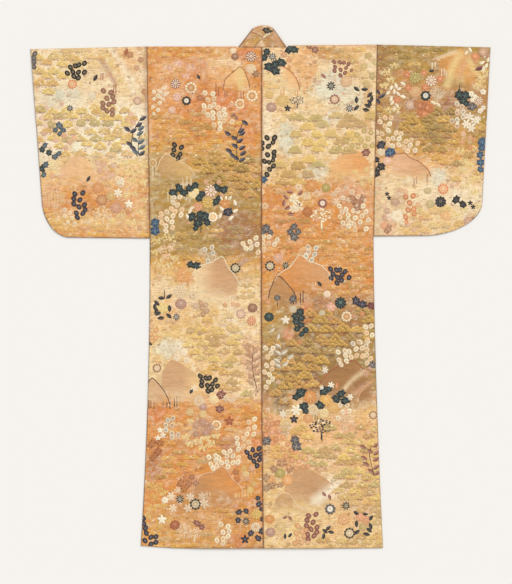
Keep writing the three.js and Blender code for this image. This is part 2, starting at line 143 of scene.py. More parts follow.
# Each piece's ground. "bands" are colour stops from the top down, "zones" soft areas on them:
# column, row, half width, half height, colour, strength.
GROUND = {
    "left_sleeve": {
        "bands": "40,cream 96,cream 112,pale 150,pale 160,cream 172,honey 184,peach 198,orange "
            "208,orange 220,honey 240,orange",
        "zones": [
            # The straw and pale zones high in the middle of this sleeve are partly its pale ground and
            # partly painted sheen, lighter where the silk shimmers.
            (46, 120, 14, 26, "rose", 0.4), (78, 72, 26, 18, "straw", 0.5),
            (126, 60, 16, 14, "peach", 0.7),
            (130, 118, 8, 8, "flame", 0.35), (80, 90, 46, 26, "pale", 0.3),
            (44, 76, 12, 16, "peach", 0.3), (104, 104, 14, 14, "straw", 0.5),
            (132, 184, 14, 26, "peach", 0.6), (52, 198, 14, 12, "rose", 0.7),
            (104, 172, 12, 12, "rose", 0.5), (130, 212, 24, 22, "rose", 0.4),
            (74, 158, 20, 8, "gold", 0.35), (140, 216, 10, 16, "honey", 0.6),
            (48, 70, 18, 24, "pale", 0.4),
            (90, 128, 30, 18, "pale", 0.5), (144, 90, 5, 40, "peach", 0.4),
            (40, 180, 8, 20, "honey", 0.4),
            (60, 96, 24, 10, "mint", 0.6), (118, 122, 18, 28, "pale", 0.7),
            (140, 130, 14, 30, "pale", 0.6), (140, 78, 10, 14, "pale", 0.5),
            (42, 142, 14, 32, "pale", 0.6),
            (104, 60, 10, 14, "honey", 0.4), (66, 130, 14, 14, "peach", 0.35),
        ],
    },
    "left_body_panel": {
        "bands": "40,orange 136,orange 150,amber 162,olive 205,olive 250,olive 262,amber 274,honey "
            "288,cream 330,honey 345,straw 392,cream 404,orange 440,orange 500,orange 560,amber",
        "zones": [
            (246, 50, 8, 5, "flame", 0.8), (222, 66, 22, 22, "peach", 0.9),
            (240, 54, 9, 6, "flame", 0.7), (228, 103, 16, 11, "flame", 0.6),
            (247, 132, 9, 34, "flame", 0.4), (200, 94, 50, 24, "flame", 0.32),
            (205, 498, 34, 12, "umber", 0.6), (228, 444, 10, 9, "plum", 0.5),
            (194, 438, 24, 10, "umber", 0.4), (190, 66, 26, 10, "rose", 0.4),
            (252, 120, 7, 40, "orange", 0.6),
            (168, 84, 16, 26, "peach", 0.6), (170, 128, 20, 14, "amber", 0.5),
            (250, 96, 12, 12, "peach", 0.5),
            (238, 232, 26, 26, "plum", 0.62), (170, 232, 16, 12, "moss", 0.4),
            (196, 160, 14, 12, "amber", 0.5),
            (240, 170, 22, 14, "amber", 0.6), (208, 253, 10, 6, "mint", 0.5),
            (238, 326, 24, 17, "pale", 0.6), (202, 428, 14, 9, "mauve", 0.85),
            (226, 280, 18, 15, "umber", 0.6),
            (184, 276, 10, 9, "orange", 0.7), (172, 312, 18, 16, "peach", 0.5),
            (172, 350, 18, 10, "mint", 0.7),
            (250, 356, 12, 22, "rose", 0.6), (214, 366, 34, 30, "cream", 0.3),
            (214, 366, 44, 36, "peach", 0.3), (248, 320, 12, 12, "honey", 0.5),
            (158, 412, 14, 8, "flame", 0.7),
            (256, 441, 7, 6, "flame", 0.8), (238, 539, 9, 9, "flame", 0.7),
            (154, 462, 9, 18, "plum", 0.5),
            (206, 400, 22, 18, "peach", 0.5), (172, 384, 18, 10, "tan", 0.5),
            (200, 520, 22, 16, "peach", 0.5),
            (166, 520, 16, 20, "amber", 0.5), (206, 514, 44, 30, "umber", 0.28),
            (252, 470, 10, 26, "amber", 0.5), (190, 428, 16, 10, "peach", 0.4),
        ],
    },
    "right_body_panel": {
        "bands": "40,peach 58,cream 176,honey 190,orange 240,orange 284,orange 300,umber 320,olive "
            "385,moss 398,tan 410,honey 430,peach 470,honey 520,straw 560,honey",
        "zones": [
            (268, 140, 9, 44, "pale", 0.55), (332, 136, 44, 30, "pale", 0.3),
            (320, 458, 30, 12, "cream", 0.45), (318, 350, 46, 34, "bark", 0.5),
            (316, 354, 50, 38, "dusk", 0.36), (281, 403, 10, 11, "dusk", 0.8),
            (336, 317, 26, 9, "dusk", 0.4), (284, 358, 12, 14, "dusk", 0.25),
            (350, 334, 12, 10, "dusk", 0.3), (330, 54, 20, 8, "umber", 0.6),
            (350, 320, 24, 12, "bark", 0.5), (340, 400, 34, 12, "bark", 0.5),
            (330, 84, 22, 16, "mint", 0.9), (330, 118, 12, 7, "mint", 0.7),
            (287, 140, 9, 18, "mint", 0.9),
            (317, 172, 13, 10, "mint", 0.9), (302, 68, 18, 18, "peach", 0.9),
            (318, 50, 18, 6, "orange", 0.5),
            (268, 92, 8, 14, "honey", 0.6), (350, 60, 12, 10, "peach", 0.5),
            (356, 164, 20, 9, "peach", 0.8),
            (345, 52, 20, 6, "gold", 0.4), (352, 195, 14, 16, "rose", 0.6),
            (300, 198, 16, 10, "honey", 0.6),
            (285, 218, 16, 10, "flame", 0.35), (306, 312, 8, 12, "flame", 0.8),
            (288, 334, 6, 7, "flame", 0.8),
            (322, 302, 10, 8, "plum", 0.5), (310, 382, 12, 8, "plum", 0.75),
            (348, 330, 16, 12, "plum", 0.4),
            (350, 382, 24, 14, "bark", 0.9), (272, 430, 10, 18, "flame", 0.6),
            (285, 428, 6, 8, "mint", 0.7),
            (346, 425, 10, 16, "rose", 0.5), (360, 497, 14, 34, "mauve", 0.35),
            (348, 98, 20, 14, "mint", 0.6), (330, 488, 14, 10, "pale", 0.9),
            (320, 500, 70, 54, "rose", 0.22), (306, 480, 24, 14, "tan", 0.6),
            (330, 490, 18, 16, "cream", 0.5),
            (300, 530, 16, 12, "straw", 0.6), (348, 525, 20, 12, "peach", 0.4),
            (366, 470, 10, 40, "peach", 0.4),
            (368, 110, 5, 30, "amber", 0.5), (340, 250, 26, 20, "amber", 0.4),
            (270, 300, 10, 30, "amber", 0.5),
            (265, 400, 4, 60, "plum", 0.3), (290, 460, 16, 10, "flame", 0.3),
        ],
    },
    "right_sleeve": {
        "bands": "40,olive 62,olive 100,umber 118,olive 140,olive 152,amber 164,peach 182,cream "
            "232,cream 240,peach",
        "zones": [
            # The umber strip at column 380, beside the armhole seam, is painted shade, and the straw zone
            # on the hill near the top, at 462, 66, is partly painted sheen.
            (380, 100, 5, 60, "umber", 0.5), (425, 108, 10, 9, "flame", 0.8),
            (448, 108, 9, 11, "plum", 0.6),
            (398, 124, 8, 9, "mauve", 0.6), (462, 66, 16, 17, "straw", 0.75),
            (440, 62, 10, 9, "umber", 0.6),
            (474, 78, 12, 9, "orange", 0.6), (484, 52, 6, 6, "mauve", 0.7),
            (438, 176, 9, 10, "mint", 0.8),
            (408, 168, 22, 10, "peach", 0.8), (462, 132, 12, 14, "amber", 0.5),
            (470, 180, 12, 30, "honey", 0.7),
            (388, 222, 8, 12, "rose", 0.8), (470, 222, 8, 8, "mauve", 0.7),
            (398, 200, 10, 8, "mauve", 0.4),
            (404, 76, 8, 8, "orange", 0.5), (430, 84, 14, 8, "orange", 0.4),
            (410, 228, 16, 5, "gold", 0.4), (386, 54, 14, 10, "bark", 0.6),
            (440, 196, 26, 12, "pale", 0.35),
            (436, 214, 20, 12, "honey", 0.4), (394, 60, 14, 12, "moss", 0.6),
            (465, 100, 14, 10, "umber", 0.5),
            (464, 60, 9, 10, "rose", 0.6), (470, 198, 20, 16, "pale", 0.5),
        ],
    },
}
GROUND["collar"] = {
    "bands": "20,tan 34,tan 48,umber 300,orange 420,honey",
    "zones": [
        (256, 41, 7, 6, "bronze", 0.6), (267, 40, 6, 6, "bronze", 0.7), (278, 41, 6, 9, "tan", 0.9),
        (262, 45, 4, 3, "blush", 0.9), (257, 31, 6, 3, "tan", 0.6), (248, 45, 5, 3, "peach", 0.5),
    ],
}
GROUND["left_overlap"] = GROUND["right_body_panel"]
GROUND["right_overlap"] = GROUND["left_body_panel"]

# Pines that fill the ground: left column, top row, right column, bottom row, strength, look, colours
PINES = {
    "left_sleeve": [
        (36, 52, 70, 98, 0.85, "small", "lemon wheat lemon sage gold"),
        (84, 46, 104, 60, 0.6, "flat", "gold amber"),
        (34, 106, 130, 150, 0.9, "small", "lemon wheat lemon sage gold"),
        (34, 150, 130, 170, 0.6, "small", "gold amber"),
        (90, 104, 112, 122, 0.7, "small", "lemon wheat"),
        (112, 132, 150, 166, 0.85, "small", "lemon wheat lemon sage gold"),
        (34, 206, 150, 240, 0.6, "flat", "gold amber orange"),
        (100, 164, 150, 210, 0.45, "small", "gold amber"), (62, 46, 90, 62, 0.5, "small", "gold honey"),
    ],
    "left_body_panel": [
        (148, 46, 222, 76, 0.5, "flat", "gold amber"),
        (152, 112, 244, 160, 0.7, "flat", "olive gold amber"),
        (196, 156, 250, 200, 0.75, "fan", "gold olive amber"),
        (170, 222, 236, 262, 0.75, "flat", "olive gold moss"),
        (150, 160, 200, 200, 0.4, "flat", "olive gold"),
        (184, 326, 240, 366, 0.7, "small", "wheat bronze lemon"),
        (196, 362, 250, 402, 0.8, "small", "wheat bronze sage gold"),
        (224, 398, 264, 412, 0.6, "flat", "olive gold"),
        (158, 446, 222, 478, 0.8, "flat", "olive gold orange"),
        (200, 506, 240, 520, 0.3, "flat", "gold amber"),
        (150, 530, 218, 548, 0.5, "flat", "gold olive"), (166, 400, 262, 446, 0.3, "flat", "amber gold"),
        (236, 268, 262, 300, 0.5, "flat", "olive gold"), (196, 310, 236, 330, 0.3, "small", "gold honey"),
    ],
    "right_body_panel": [
        (318, 46, 362, 60, 0.6, "flat", "gold olive"),
        (346, 56, 378, 86, 0.6, "small", "gold olive honey"),
        (262, 84, 290, 120, 0.4, "flat", "gold"),
        (292, 112, 378, 166, 0.85, "light", "wheat bronze sage lemon"),
        (276, 160, 318, 184, 0.8, "light", "wheat bronze sage"),
        (262, 176, 300, 200, 0.5, "flat", "olive gold"),
        (304, 212, 378, 300, 0.7, "flat", "orange olive amber"),
        (262, 206, 310, 262, 0.35, "flat", "amber olive"),
        (262, 318, 282, 346, 0.6, "flat", "olive moss"),
        (306, 308, 376, 348, 0.85, "fan", "amber gold bronze"),
        (270, 338, 346, 414, 0.95, "fan", "amber gold bronze amber"),
        (262, 412, 300, 440, 0.4, "small", "gold amber"),
        (298, 424, 382, 504, 0.85, "small", "wheat bronze sage lemon"),
        (306, 536, 384, 549, 0.7, "small", "wheat bronze"),
        (262, 444, 284, 462, 0.6, "small", "gold honey"),
        (350, 498, 384, 540, 0.5, "small", "gold olive"),
    ],
    "right_sleeve": [
        (376, 46, 440, 76, 0.75, "flat", "olive gold moss"),
        (398, 106, 462, 130, 0.85, "fan", "bronze olive gold"),
        (404, 124, 484, 166, 0.8, "small", "gold bronze moss amber"),
        (452, 146, 486, 192, 0.7, "small", "gold honey"),
        (400, 206, 484, 240, 0.5, "small", "wheat gold"), (466, 70, 490, 86, 0.5, "small", "gold honey"),
        (376, 76, 398, 118, 0.5, "small", "gold olive"),
    ],
}
PINES["left_overlap"] = [(262, 60, 320, 548, 0.8, "fan", "gold olive amber")]
PINES["right_overlap"] = [(200, 60, 264, 548, 0.8, "fan", "gold olive amber")]
# Looks of a pine: half width, height, strokes and tufts at its foot, how far apart columns and rows
# stand, and how far a pine may stray across and down
PINE_LOOKS = {
    "fan": (7.9, 6.6, 3, 3, 16.2, 8.4, (3.0, 1.6)), "light": (8.0, 5.8, 4, 4, 18.0, 8.4, (3.0, 1.6)),
    "small": (6.8, 5.3, 3, 3, 14.4, 7.0, (3.0, 1.6)), "flat": (7.6, 4.2, 2, 3, 18.0, 6.4, (5.0, 2.2)),
}

# Hills: one fill, or several from the left foot to the right one, then outline, strength of the fill,
# base row and points of the crest
HILLS = {
    "left_sleeve": [
        ("rose peach", "peach", 0.6, 186, "58,184 62,168 70,158 80,155 90,162 96,176 98,184"),
    ],
    "left_body_panel": [
        ("peach honey", "brown", 0.75, 92, "223,90 225,80 230,75 236,70 240,66.5 244,70 248,80 250,88"),
        ("tan honey", "cream", 0.6, 184, "157,170 160,160 165,154.5 168,154 175,159 182,162 190,167 "
            "194,175"),
        ("cream tan tan", "pale", 0.95, 306, "192,276 195,269 200,265.5 207,263.5 212,262.5 216,259.5 "
            "221,256.3 224,258 226,263 229,269 233,273 240,284"),
        ("tan tan honey", "tan", 0.9, 404, "160,394 163,372 167,363 172,359.5 180,363 190,369 198,376 "
            "204,388"),
        ("tan", "ink", 0.7, 408, "147,392 148,384 150,379 153,378 157,382 163,389 168,398 170,404"),
        ("umber orange", "blush", 0.85, 502, "192,496 194,488 196,482 200,475.5 206,473 213,472 "
            "217,469 221,466 224,467 228,471 231,477 235,481 239,484 244,492"),
    ],
    "right_body_panel": [
        ("peach", "rust", 0.7, 94, "280,66 286,68 292,73 297,80 300,90"),
        ("peach orange", "peach", 0.8, 182, "326,168 330,162 340,157 350,152 357,150.5 362,153 367,160 "
            "371,168"),
        ("orange tan", "pale", 0.8, 292, "274,281 279,274 285,270 290,267 294,262 297,257 300,254.5 "
            "304,257 308,261.5 315,263 322,266 327,271 329.5,275 331,282"),
        ("umber", "ink", 0.85, 304, "268.5,297 270,290 272,285 275,278.5 278,275.5 281,277 284,280 "
            "291,288 294.5,293 296,299"),
        ("bark", "rust", 0.95, 404, "316,390 322,380 330,371 341,364 350,361 354,359.5 358,363 362,368 "
            "374,372"),
        ("bark", "peach", 0.9, 406, "357,402 360,393 366,386 374,380"),
        ("tan umber", "umber", 0.85, 514, "282,494 287,482 293,473 299,467.5 303,466 308,469 316,473 "
            "323,477 329,481 334,487"),
        ("umber", "cream", 0.6, 512, "272,507 276,498 281,493 285,492.5 289,494 294,500 298,508"),
    ],
    "right_sleeve": [
        ("rose tan", "rust", 0.7, 182, "388,158 396,154 405,153 410,158 418,161 425,167 429,171 "
            "430.5,176"),
        ("orange amber", "orange", 0.7, 88, "436,60 444,55 452,51.5 457,49 461,48 466,53 470,58 476,66"),
    ],
}

# Lines of floating threads: colour, width in steps, share of the colour, points
LINES = {
    "collar": [
        ("rust", 0.6, 0.8, "251.5,32.5 256,33.8 260,36.2 263.5,38.6"),
        ("brown", 0.6, 0.8, "263.5,38.6 260,41 257,43 255,46.5"),
        ("pale", 1.3, 0.85, "263,38.5 266,35.4 270,33.6"),
        ("blush", 0.8, 0.7, "252,31.4 257,32.4 262,35.4"),
    ],
    "right_sleeve": [
        ("pale", 0.9, 0.5, "432,60 439,57 447,53.5 456,51"), ("cream", 0.8, 0.5, "464,49 468,55 473,61"),
    ],
}

# Painted sheen: soft bright and dark streaks where the silk catches or loses the light, painted into its
# colour: colour, half width, share of the colour, points
SHEEN_STREAKS = {
    "left_sleeve": [
        ("straw", 7, 0.8, "106,54 115,66 121,78 124,92"), ("pale", 5, 0.8, "112,50 120,61 127,74 134,92"),
        ("peach", 4, 0.5, "124,54 134,68 140,84"), ("mauve", 4.2, 0.85, "100,59 106,67 111,76 116,84"),
    ],
    "left_body_panel": [
        ("straw", 6, 0.6, "239,70 240,78 241,88"), ("cream", 9, 0.5, "214,66 228,60 238,62"),
    ],
    "right_body_panel": [
        ("pale", 9, 0.8, "316,500 328,492 340,484"),
        ("cream", 3.4, 0.85, "345,388 351,381 358,375 366,371"),
        ("rose", 5, 0.5, "356,393 365,386 373,381"),
        ("peach", 5, 0.5, "345,158 350,166 352,176"),
    ],
    "right_sleeve": [
        ("straw", 6, 0.8, "447,86 450,74 454,64 460,55"), ("cream", 3, 0.7, "436,60 445,56 456,52"),
        ("straw", 5, 0.7, "482,86 479,76 474,68 468,60"), ("rose", 4, 0.5, "459,76 463,66 466,61"),
    ],
}

# Floating motifs: kind, dye, then places as column,row or column,row,size or column,row,size,turn
CHART = {
    "left_sleeve": [
        ("sprig", "slate", "35,54 34,58 34,62 34,67"),
        ("sprig", "black", "70.5,67.5 75.5,66 79,65 84.5,63.5 73,72 67.5,73.5 78.5,72.5 84.5,72.5 "
            "74,76.5 78.5,78"),
        ("blade", "ink", "95.5,78,3.4,30 88.5,179,3.2,30"),
        ("ring", "flame", "72.5,84.5,5"),
        ("daisy", "navy", "70,108.5,3.6"),
        ("sprig", "brown", "103.5,91 111,92.5 107,98.5 113,97 103,103.5 109,104.5 114,102 103,108 "
            "107,111 112.5,110 112.5,114.5"),
        ("ring", "mauve", "137.5,101,4.5"),
        ("maple", "steel", "59.5,126,4 55.5,130.5,3 63.5,130.5,3.2 60,134,3"),
        ("lance", "navy", "143,118.5 127.5,129.5 139,125 133.5,131 129.5,144 133,148 142,153.5"),
        ("lance", "steel", "141,128.5 140,133.5 135,140 141,142 142,147.5 135.5,152"),
        ("bar", "rust", "101,76.5,7 103,76.5,7 114,90,10 116,90,10"),
        ("blade", "rust", "126,52,3.5,20"),
        ("maple", "teal", "42,150,3.4 49,153,3.6 42,169,3.8"),
        ("maple", "steel", "45,146,3.2 55,157,3.4 59,154,3 46,165,3.6 44,175,3"),
        ("disc", "soft cream", "44,158,5"), ("mum", "soft yellow", "53,165,6"),
        ("flower", "soft flame", "56,140,3.6 64,136,3.4 70,142,3.4 66,148,3 74,138,3"),
        ("sprig", "navy", "75,194 83,193 74,199 80,200 74,204 79,207 84.5,205 85,210 83,213.5 76.5,213 "
            "77.5,217.5"),
        ("bar", "yellow", "46,198,13 49,200,12 52,197,12 55,199,13 58,197,12 61,198,13 64,198,12 "
            "72,190,9 76,188,6"),
        ("flower", "soft pink", "98,163,3.6 104,165,3.6 100,171,3.6 107,172,3.8 113,166,3.4 "
            "112,175,3.4 104,178,3.2"),
        ("flower", "soft cream", "106,168,3 118,179,3.4 121,185,3.4"),
        ("lily", "white", "121,182,4.4 118,193,4.4"),
        ("star", "white", "129,204,4"),
        ("disc", "soft flame", "98,188,6"), ("disc", "soft yellow", "111,196,5"),
        ("ring", "soft brown", "102,200,6"), ("disc", "soft mauve", "116,208,6"),
        ("flower", "soft white", "65,210,2.8 70,213,2.8 65,216,2.8 72,218,2.8 75,223,2.6 68,222,2.6"),
        ("tree", "soft cream", "103,213,9"),
        ("spray", "yellow", "124,164,5 134,162,5 143,165,5 129,172,5 139,173,5 132,181,5 143,182,4 "
            "126,195,5 135,194,4 122,216,5 131,222,5 112,221,4 144,200,4 140,212,4"),
        ("spray", "soft cream", "118,182,5 98,215,4 88,222,4 60,214,4 110,178,4"),
        ("flower", "soft flame", "131,115,3.2 133,123,3.4 128,120,2.8 62,104,2.6 128,212,3 140,228,3"),
        ("flower", "soft mint", "60,95,5 75,93,6 92,96,5 50,104,5 77,147,5"),
        ("flower", "soft rust", "130,55,4 141,60,3.6 137,68,3.4 145,92,4 148,98,3.6"),
        ("flower", "soft pink", "42,118,3 46,126,3 44,134,3 52,176,3 47,108,3"),
    ],
    "left_body_panel": [
        ("disc", "brown", "235,57,3.8"), ("mum", "russet", "251,57,5.8"),
        ("disc", "soft mint", "251,69,5.4"), ("daisy", "soft mint", "233,51,3.6"),
        ("lily", "soft black", "256,74,4.4"), ("flower", "soft flame", "259,60,3.4 261,84,3.6"),
        ("bar", "rust", "216,90,13 218.5,92,9 225,94,8 227,94,7 241,95,9 243.5,95,8"),
        ("blade", "ink", "198.5,77,2.6,-30 191.5,391,3,30 149.5,343.5,3,-60"),
        ("mum", "russet", "175.5,84,5.4"), ("ring", "cream", "191,88,6"), ("eye", "black", "186.5,101,5"),
        ("mum", "pink", "177,97,5"), ("ring", "pink", "172,110,4"),
        ("flower", "soft plum", "200,98,3.8"),
        ("spray", "pink", "168,68,4 178,64,4 190,68,5 186,76,4 204,64,3"),
        ("spray", "soft flame", "198,74,5 206,82,4 214,70,4 166,80,4"),
        ("flower", "soft flame", "197,72,3.4 203,66,3.4 246,104,3.4 222,100,3.4"),
        ("flower", "cream", "154,92,2.4 158,96,2.8 154,99,2.2 160,103,2.6 153,107,2.2 158,110,2.6 "
            "154,114,2.2"),
        ("lance", "soft white", "164,88 160,92 166,94 162,99"),
        ("sprig", "cream", "205,93 213,94 208,100 214,99 204,106 210,107 214,105 218,108 204,112 "
            "208,115 213,113 219,114 224,110 225,115 213,118 220,118 214,125 220,124 224,121 220,129 "
            "232,122"),
        ("ring", "cream", "252,96,5.8 240,104,5.2"),
        ("blade", "brown", "233,115,3,50 236,118,3,-30"),
        ("lance", "navy", "245,123 228,134 241,131 242,134 234,138 240,141 235,146 242,148 229,151 "
            "243,153.5 233,156 236,158 242,160"),
        ("sprig", "black", "174.5,145 181.5,147.5 174,150 173,155 180,154.5 178,158.5"),
        ("ring", "soft cream", "153,163,4.4"),
        ("bar", "cream", "153,171,11 156,170,10 183,183,13 187,182,12 191,184,11 168,196,9 171,196,8"),
        ("maple", "teal", "179,188,4.8 173,193,4.4 184,193,4.4 189,188,3.8 195,186,4.8 192,190,3.8 "
            "199,198,4.4 202,194,3.8 217,188,4.4 224,190,4.6 216,202,4.6 219,198,3.4 192,217,5 "
            "198,223,5 205,217,5.4 207,223,4.2 200,215,4.4 196,228,3.4"),
        ("bar", "ink", "201,229,8"),
        ("ring", "straw", "194,193,6"), ("mum", "fawn", "211,191,7.2"), ("mum", "gold", "208,203,6.4"),
        ("spray", "soft mint", "188,199,4 183,183,4"),
        ("mum", "flame", "198,207,5"), ("flower", "orange", "225,204,6"), ("maple", "navy", "228,212,5"),
        ("ring", "white", "213,217,5"),
        ("blade", "white", "230,198,2.6,40 221,198,2.6,-30 220,216,3,20 235,211,3,60 235,203,3,-20 "
            "231,218,3,50 222,209,3,-40 226,198,2.4,0 190,211,3,30 187.5,217,3,-20 192,208,2.4,60"),
        ("flower", "soft pink", "219,182,3 206,182,3 222,196,3"),
        ("sprig", "cream", "174,197 180,197 173,202.5 177.5,205 171.5,209 182,210 161.5,214 167,212 "
            "175,212 160.5,218 167,219 173,216 181,215 162,223 166,226 172,222 172.5,227.5 166,231"),
        ("maple", "blue", "155,223,4.8 155,231,5.4"),
        ("sprig", "willow", "205,249.5 212,247.5 213,253 206.5,256.5 214,257.5 208,261"),
        ("sprig", "cream", "243,244 250,242 257,244.5 251,248 246,248.5 258,252.5 256,238"),
        ("maple", "teal", "190.5,264.5,4 196,266,4.6"), ("ring", "black", "235.5,268,5.4"),
        ("flower", "soft mauve", "241,263,4 246,260,3.4"),
        ("mum", "soft cream", "180,292,7"), ("flower", "soft cream", "193.5,295,4.4"),
        ("wreath", "ink", "161.5,298 169,296.5 157,303 155,307 156.5,311 158.5,313.5 161,318 "
            "169.5,308.5 169,316"),
        ("bar", "ink", "164.5,294,8"), ("flower", "yellow", "163,308,6.4"),
        ("disc", "mauve", "181,304,5.8"), ("daisy", "slate", "176.5,317,3.8"),
        ("sprig", "soft plum", "201,303 206,305 202,308 207,311 203,314"),
        ("disc", "soft mauve", "196,306,3.6"),
        ("disc", "brown", "252.5,308,5"), ("ring", "mauve", "241,314,5"),
        ("mum", "flame", "251.5,321,5"), ("flower", "soft flame", "225,305,3 233,304,3 238,305,2.6"),
        ("bar", "cream", "223,302,14 226,303,12 230,302,14 233,303,11"),
        ("spray", "yellow", "156,241,5 166,238,5 158,263,5 168,266,5 155,252,4 175,258,4 173,239,4"),
        ("spray", "peach", "162,250,5 171,248,5 166,256,4"),
        ("sprig", "soft flame", "151,326 156,330 151,334 156,338 152,341"),
        ("flower", "soft brown", "200,333,3 212,340,3 206,348,3"),
        ("flower", "soft white", "164,346,5 171,350,5 178,346,5 168,356,4 177,357,4.6 184,352,4 "
            "187,360,4"),
        ("ring", "brown", "157,368,4.6"),
        ("bar", "ink", "149,404,9 151,404,8 154,404.5,9 163,404,8 167,404,7 170,404.5,8 174.5,401,12 "
            "177,400,14"),
        ("sprig", "black", "200.5,376 206,378 209.5,378 215.5,380 202,381.5 201.5,385.5 207.5,385.5 "
            "212.5,384 217.5,386 208,391 212,389.5"),
        ("mum", "soft white", "199,401,6.4"), ("disc", "soft straw", "214,399,5.6"),
        ("disc", "mauve", "203,407,4"),
        ("flower", "orange", "186,404,3.8"), ("maple", "plum", "221,395,5 219.5,409,5"),
        ("lily", "soft white", "226,398,4 232,400,4 194,388,4"),
        ("disc", "soft orange", "212,411,5.4"), ("mum", "soft straw", "203,414,4.4 190,412,4.4"),
        ("star", "rust", "229.5,421,5"),
        ("spray", "yellow", "186,437,4 190,444,4 198,441,5 206,438,4 211,444,5 202,448,4 216,436,4 "
            "190,421,3"),
        ("maple", "soft rust", "152,444,5 158,452,5.4 160,443,4 153,458,4 186,478,4.4 181,483,4.4 "
            "189,484,4.4 184,489,4"),
        ("flower", "soft rust", "236,472,4 237,479,4"),
        ("ring", "cream", "216.5,425,5"),
        ("flower", "soft mauve", "196,425,4 206,432,4.4 203,422,4 212,427,3.6 196,434,3.6"),
        ("star", "white", "160,430,3 158,438,3 163,435,3"),
        ("sprig", "willow", "173,418 168,420 166,425 172,425 166,430 172,433 178,434.5 172,437"),
        ("sprig", "cream", "254.5,419 249,422 248.5,429 254.5,427 247,434 253.5,434 237,438 "
            "243.5,438.5 248.5,442 237.5,443.5 243.5,446"),
        ("spray", "soft plum", "247,346,4 256,349,4.4 249,355,4 258,360,4.4 250,366,4.4 258,372,4.4 "
            "252,379,4.4 259,386,4.4 254,393,4"),
        ("spray", "soft pink", "252,351,3 245,360,3 256,366,3 248,373,3 254,386,3"),
        ("lance", "soft plum", "248,350 254,352 250,356 255,359 249,362 262,355 256,366 250,369 "
            "257,373 251,376 257,380 251,383 258,389"),
        ("sprig", "cream", "238.5,449 249,448 224,452 230,451 209,457 216,455.5 219,457.5 227,456 "
            "233,456 238.5,457.5 216,460.5 211,464 221.5,462.5 227,462 233,462.5 238,462 217,465.5 "
            "213,468 228,466.5"),
        ("sprig", "navy", "247,452 252.5,449.5 259,448.5 250,457 255.5,455 260.5,454 254,461 "
            "259.5,459.5 257,465.5"),
        ("bar", "white", "207,494,8 210,494,7"),
        ("lily", "soft white", "204,503,5 188,508,4.6 202,496,4.4 190,497,4.4"),
        ("ring", "black", "195.5,504,6"),
        ("daisy", "black", "180,499,4.4"), ("flower", "white", "165,500,3.8"),
        ("lily", "soft white", "171,496,4.4 173,508,4.4 178,490,3.6"),
        ("maple", "soft plum", "192,477,3.6 196,483,3.6"),
        ("bar", "yellow", "236,495,5 239,495,5 242,494,7 245,493,9 248,495,6 251,493,6"),
        ("flower", "soft yellow", "250,490,4 254,484,3.6 246,474,4 244,468,3.4"),
        ("star", "white", "162,519.5,4.5"),
        ("disc", "rust", "175,525,5.2"), ("tree", "soft white", "184,529,7 194,534,7"),
        ("maple", "plum", "197,523,4 202,527,3.4"),
        ("sprig", "navy", "143.5,518 144,523.5 145.5,528 146.5,533 151,537 156,536.5 145,540.5 156,542 "
            "151,544"),
        ("spray", "gold", "150,486,5 158,487,5 154,497,5 163,493,4 152,508,5 162,506,4 158,526,5 "
            "148,516,4 168,520,4"),
        ("spray", "soft pink", "150,474,4 160,470,4"),
        ("sprig", "cream", "221,524 228,526 223,532 229,531 223,538.5 228,536 217,540 223,543"),
        ("maple", "navy", "258,498,3 259,504,3.6 239,512,3.4 238,520,3.4 246,511,3 262,509,3.2 "
            "263,519,3.4 251,533,3.6 262,531,3.6 258,538,3.4"),
        ("daisy", "black", "246,521,4"), ("star", "navy", "245,539,4.4"),
        ("mum", "gold", "256.5,514,5.6"),
        ("disc", "orange", "256.5,514,2.8"), ("mum", "cream", "255.5,527,5.4"),
        ("flower", "soft flame", "240,53,3.4 158,60,2.6 247,196,2.8 256,486,2.8 231,540,4 238,544,4"),
        ("flower", "soft pink", "254,176,2.6 236,506,2.6 252,468,4 247,478,3.4"),
    ],
    "right_body_panel": [
        ("maple", "teal", "266.5,52,4 264,58,4.4 269,67,4.8 275,71,5 281,63,4.6 275,65,4.6 290,49,5.4 "
            "294,50,4.4"),
        ("daisy", "slate", "272.5,57,4.4"), ("maple", "brown", "309,46.5,3.6 315,50,4"),
        ("flower", "soft flame", "284,55,3.6 289,60,3 262,84,3.4"),
        ("flower", "soft olive", "368,56,4 375,62,4 364,66,4 372,76,4.4 366,84,4"),
        ("sprig", "plum", "334,62,2.4 340,62.5,2.4 344,63,2.2 348.5,64,2.4 335,67,2.2 346,68,2.2 "
            "334.5,71,2.4 340.5,70,2.4 351.5,70.5,2 345,73,2.4 340.5,75.5,2.4"),
        ("bar", "straw", "317,76,8 319.5,76,8"), ("blade", "plum", "323.5,76.5,3,-50"),
        ("daisy", "ink", "331,86,4.8"), ("disc", "soft orange", "346,82,6.2"),
        ("ring", "plum", "334.5,99.5,5.2"),
        ("daisy", "slate", "349.5,108.5,4.2"),
        ("wreath", "ink", "356.5,89 364.5,89.5 369.5,95 371.5,99 356.5,100 369.5,103 367.5,106 "
            "356.5,108 366,110"),
        ("bar", "orange", "281,93,7 284,93,7 295,92,7 297.5,92,6 304,90,10 307,86,6"),
        ("disc", "soft gold", "282.5,101,6.6 269,95,4.4 283,120,3.6"),
        ("disc", "mauve", "271.5,107.5,5.4"),
        ("tree", "slate", "297,101,6.4"), ("star", "ink", "287.5,108.5,3.4"),
        ("sprig", "black", "267,138,3.1 274.5,138,3.3 262,143,3.1 273,142.5,2.8 268.5,146.5,3.1 "
            "262,148.5,2.8 274,152.5,3 267.5,155,3 274,156.5,2.8 264.5,161.5,3 273,160.5,2.6 "
            "273.5,166,3 269,162.5,2.6 269.5,169.5,2.8 267,174.5,3"),
        ("maple", "blue", "263,180,4.8"),
        ("ring", "olive", "357,135,2.9 364,131,2.7 361,140,2.9 368,139,2.7 352,146,2.8 365,146,2.7 "
            "346,141,2.8 340,145,2.6 371,133,2.5 372,146,2.5 358,147,2.6 351,139,2.6 346,149,2.5 "
            "334,148,2.4"),
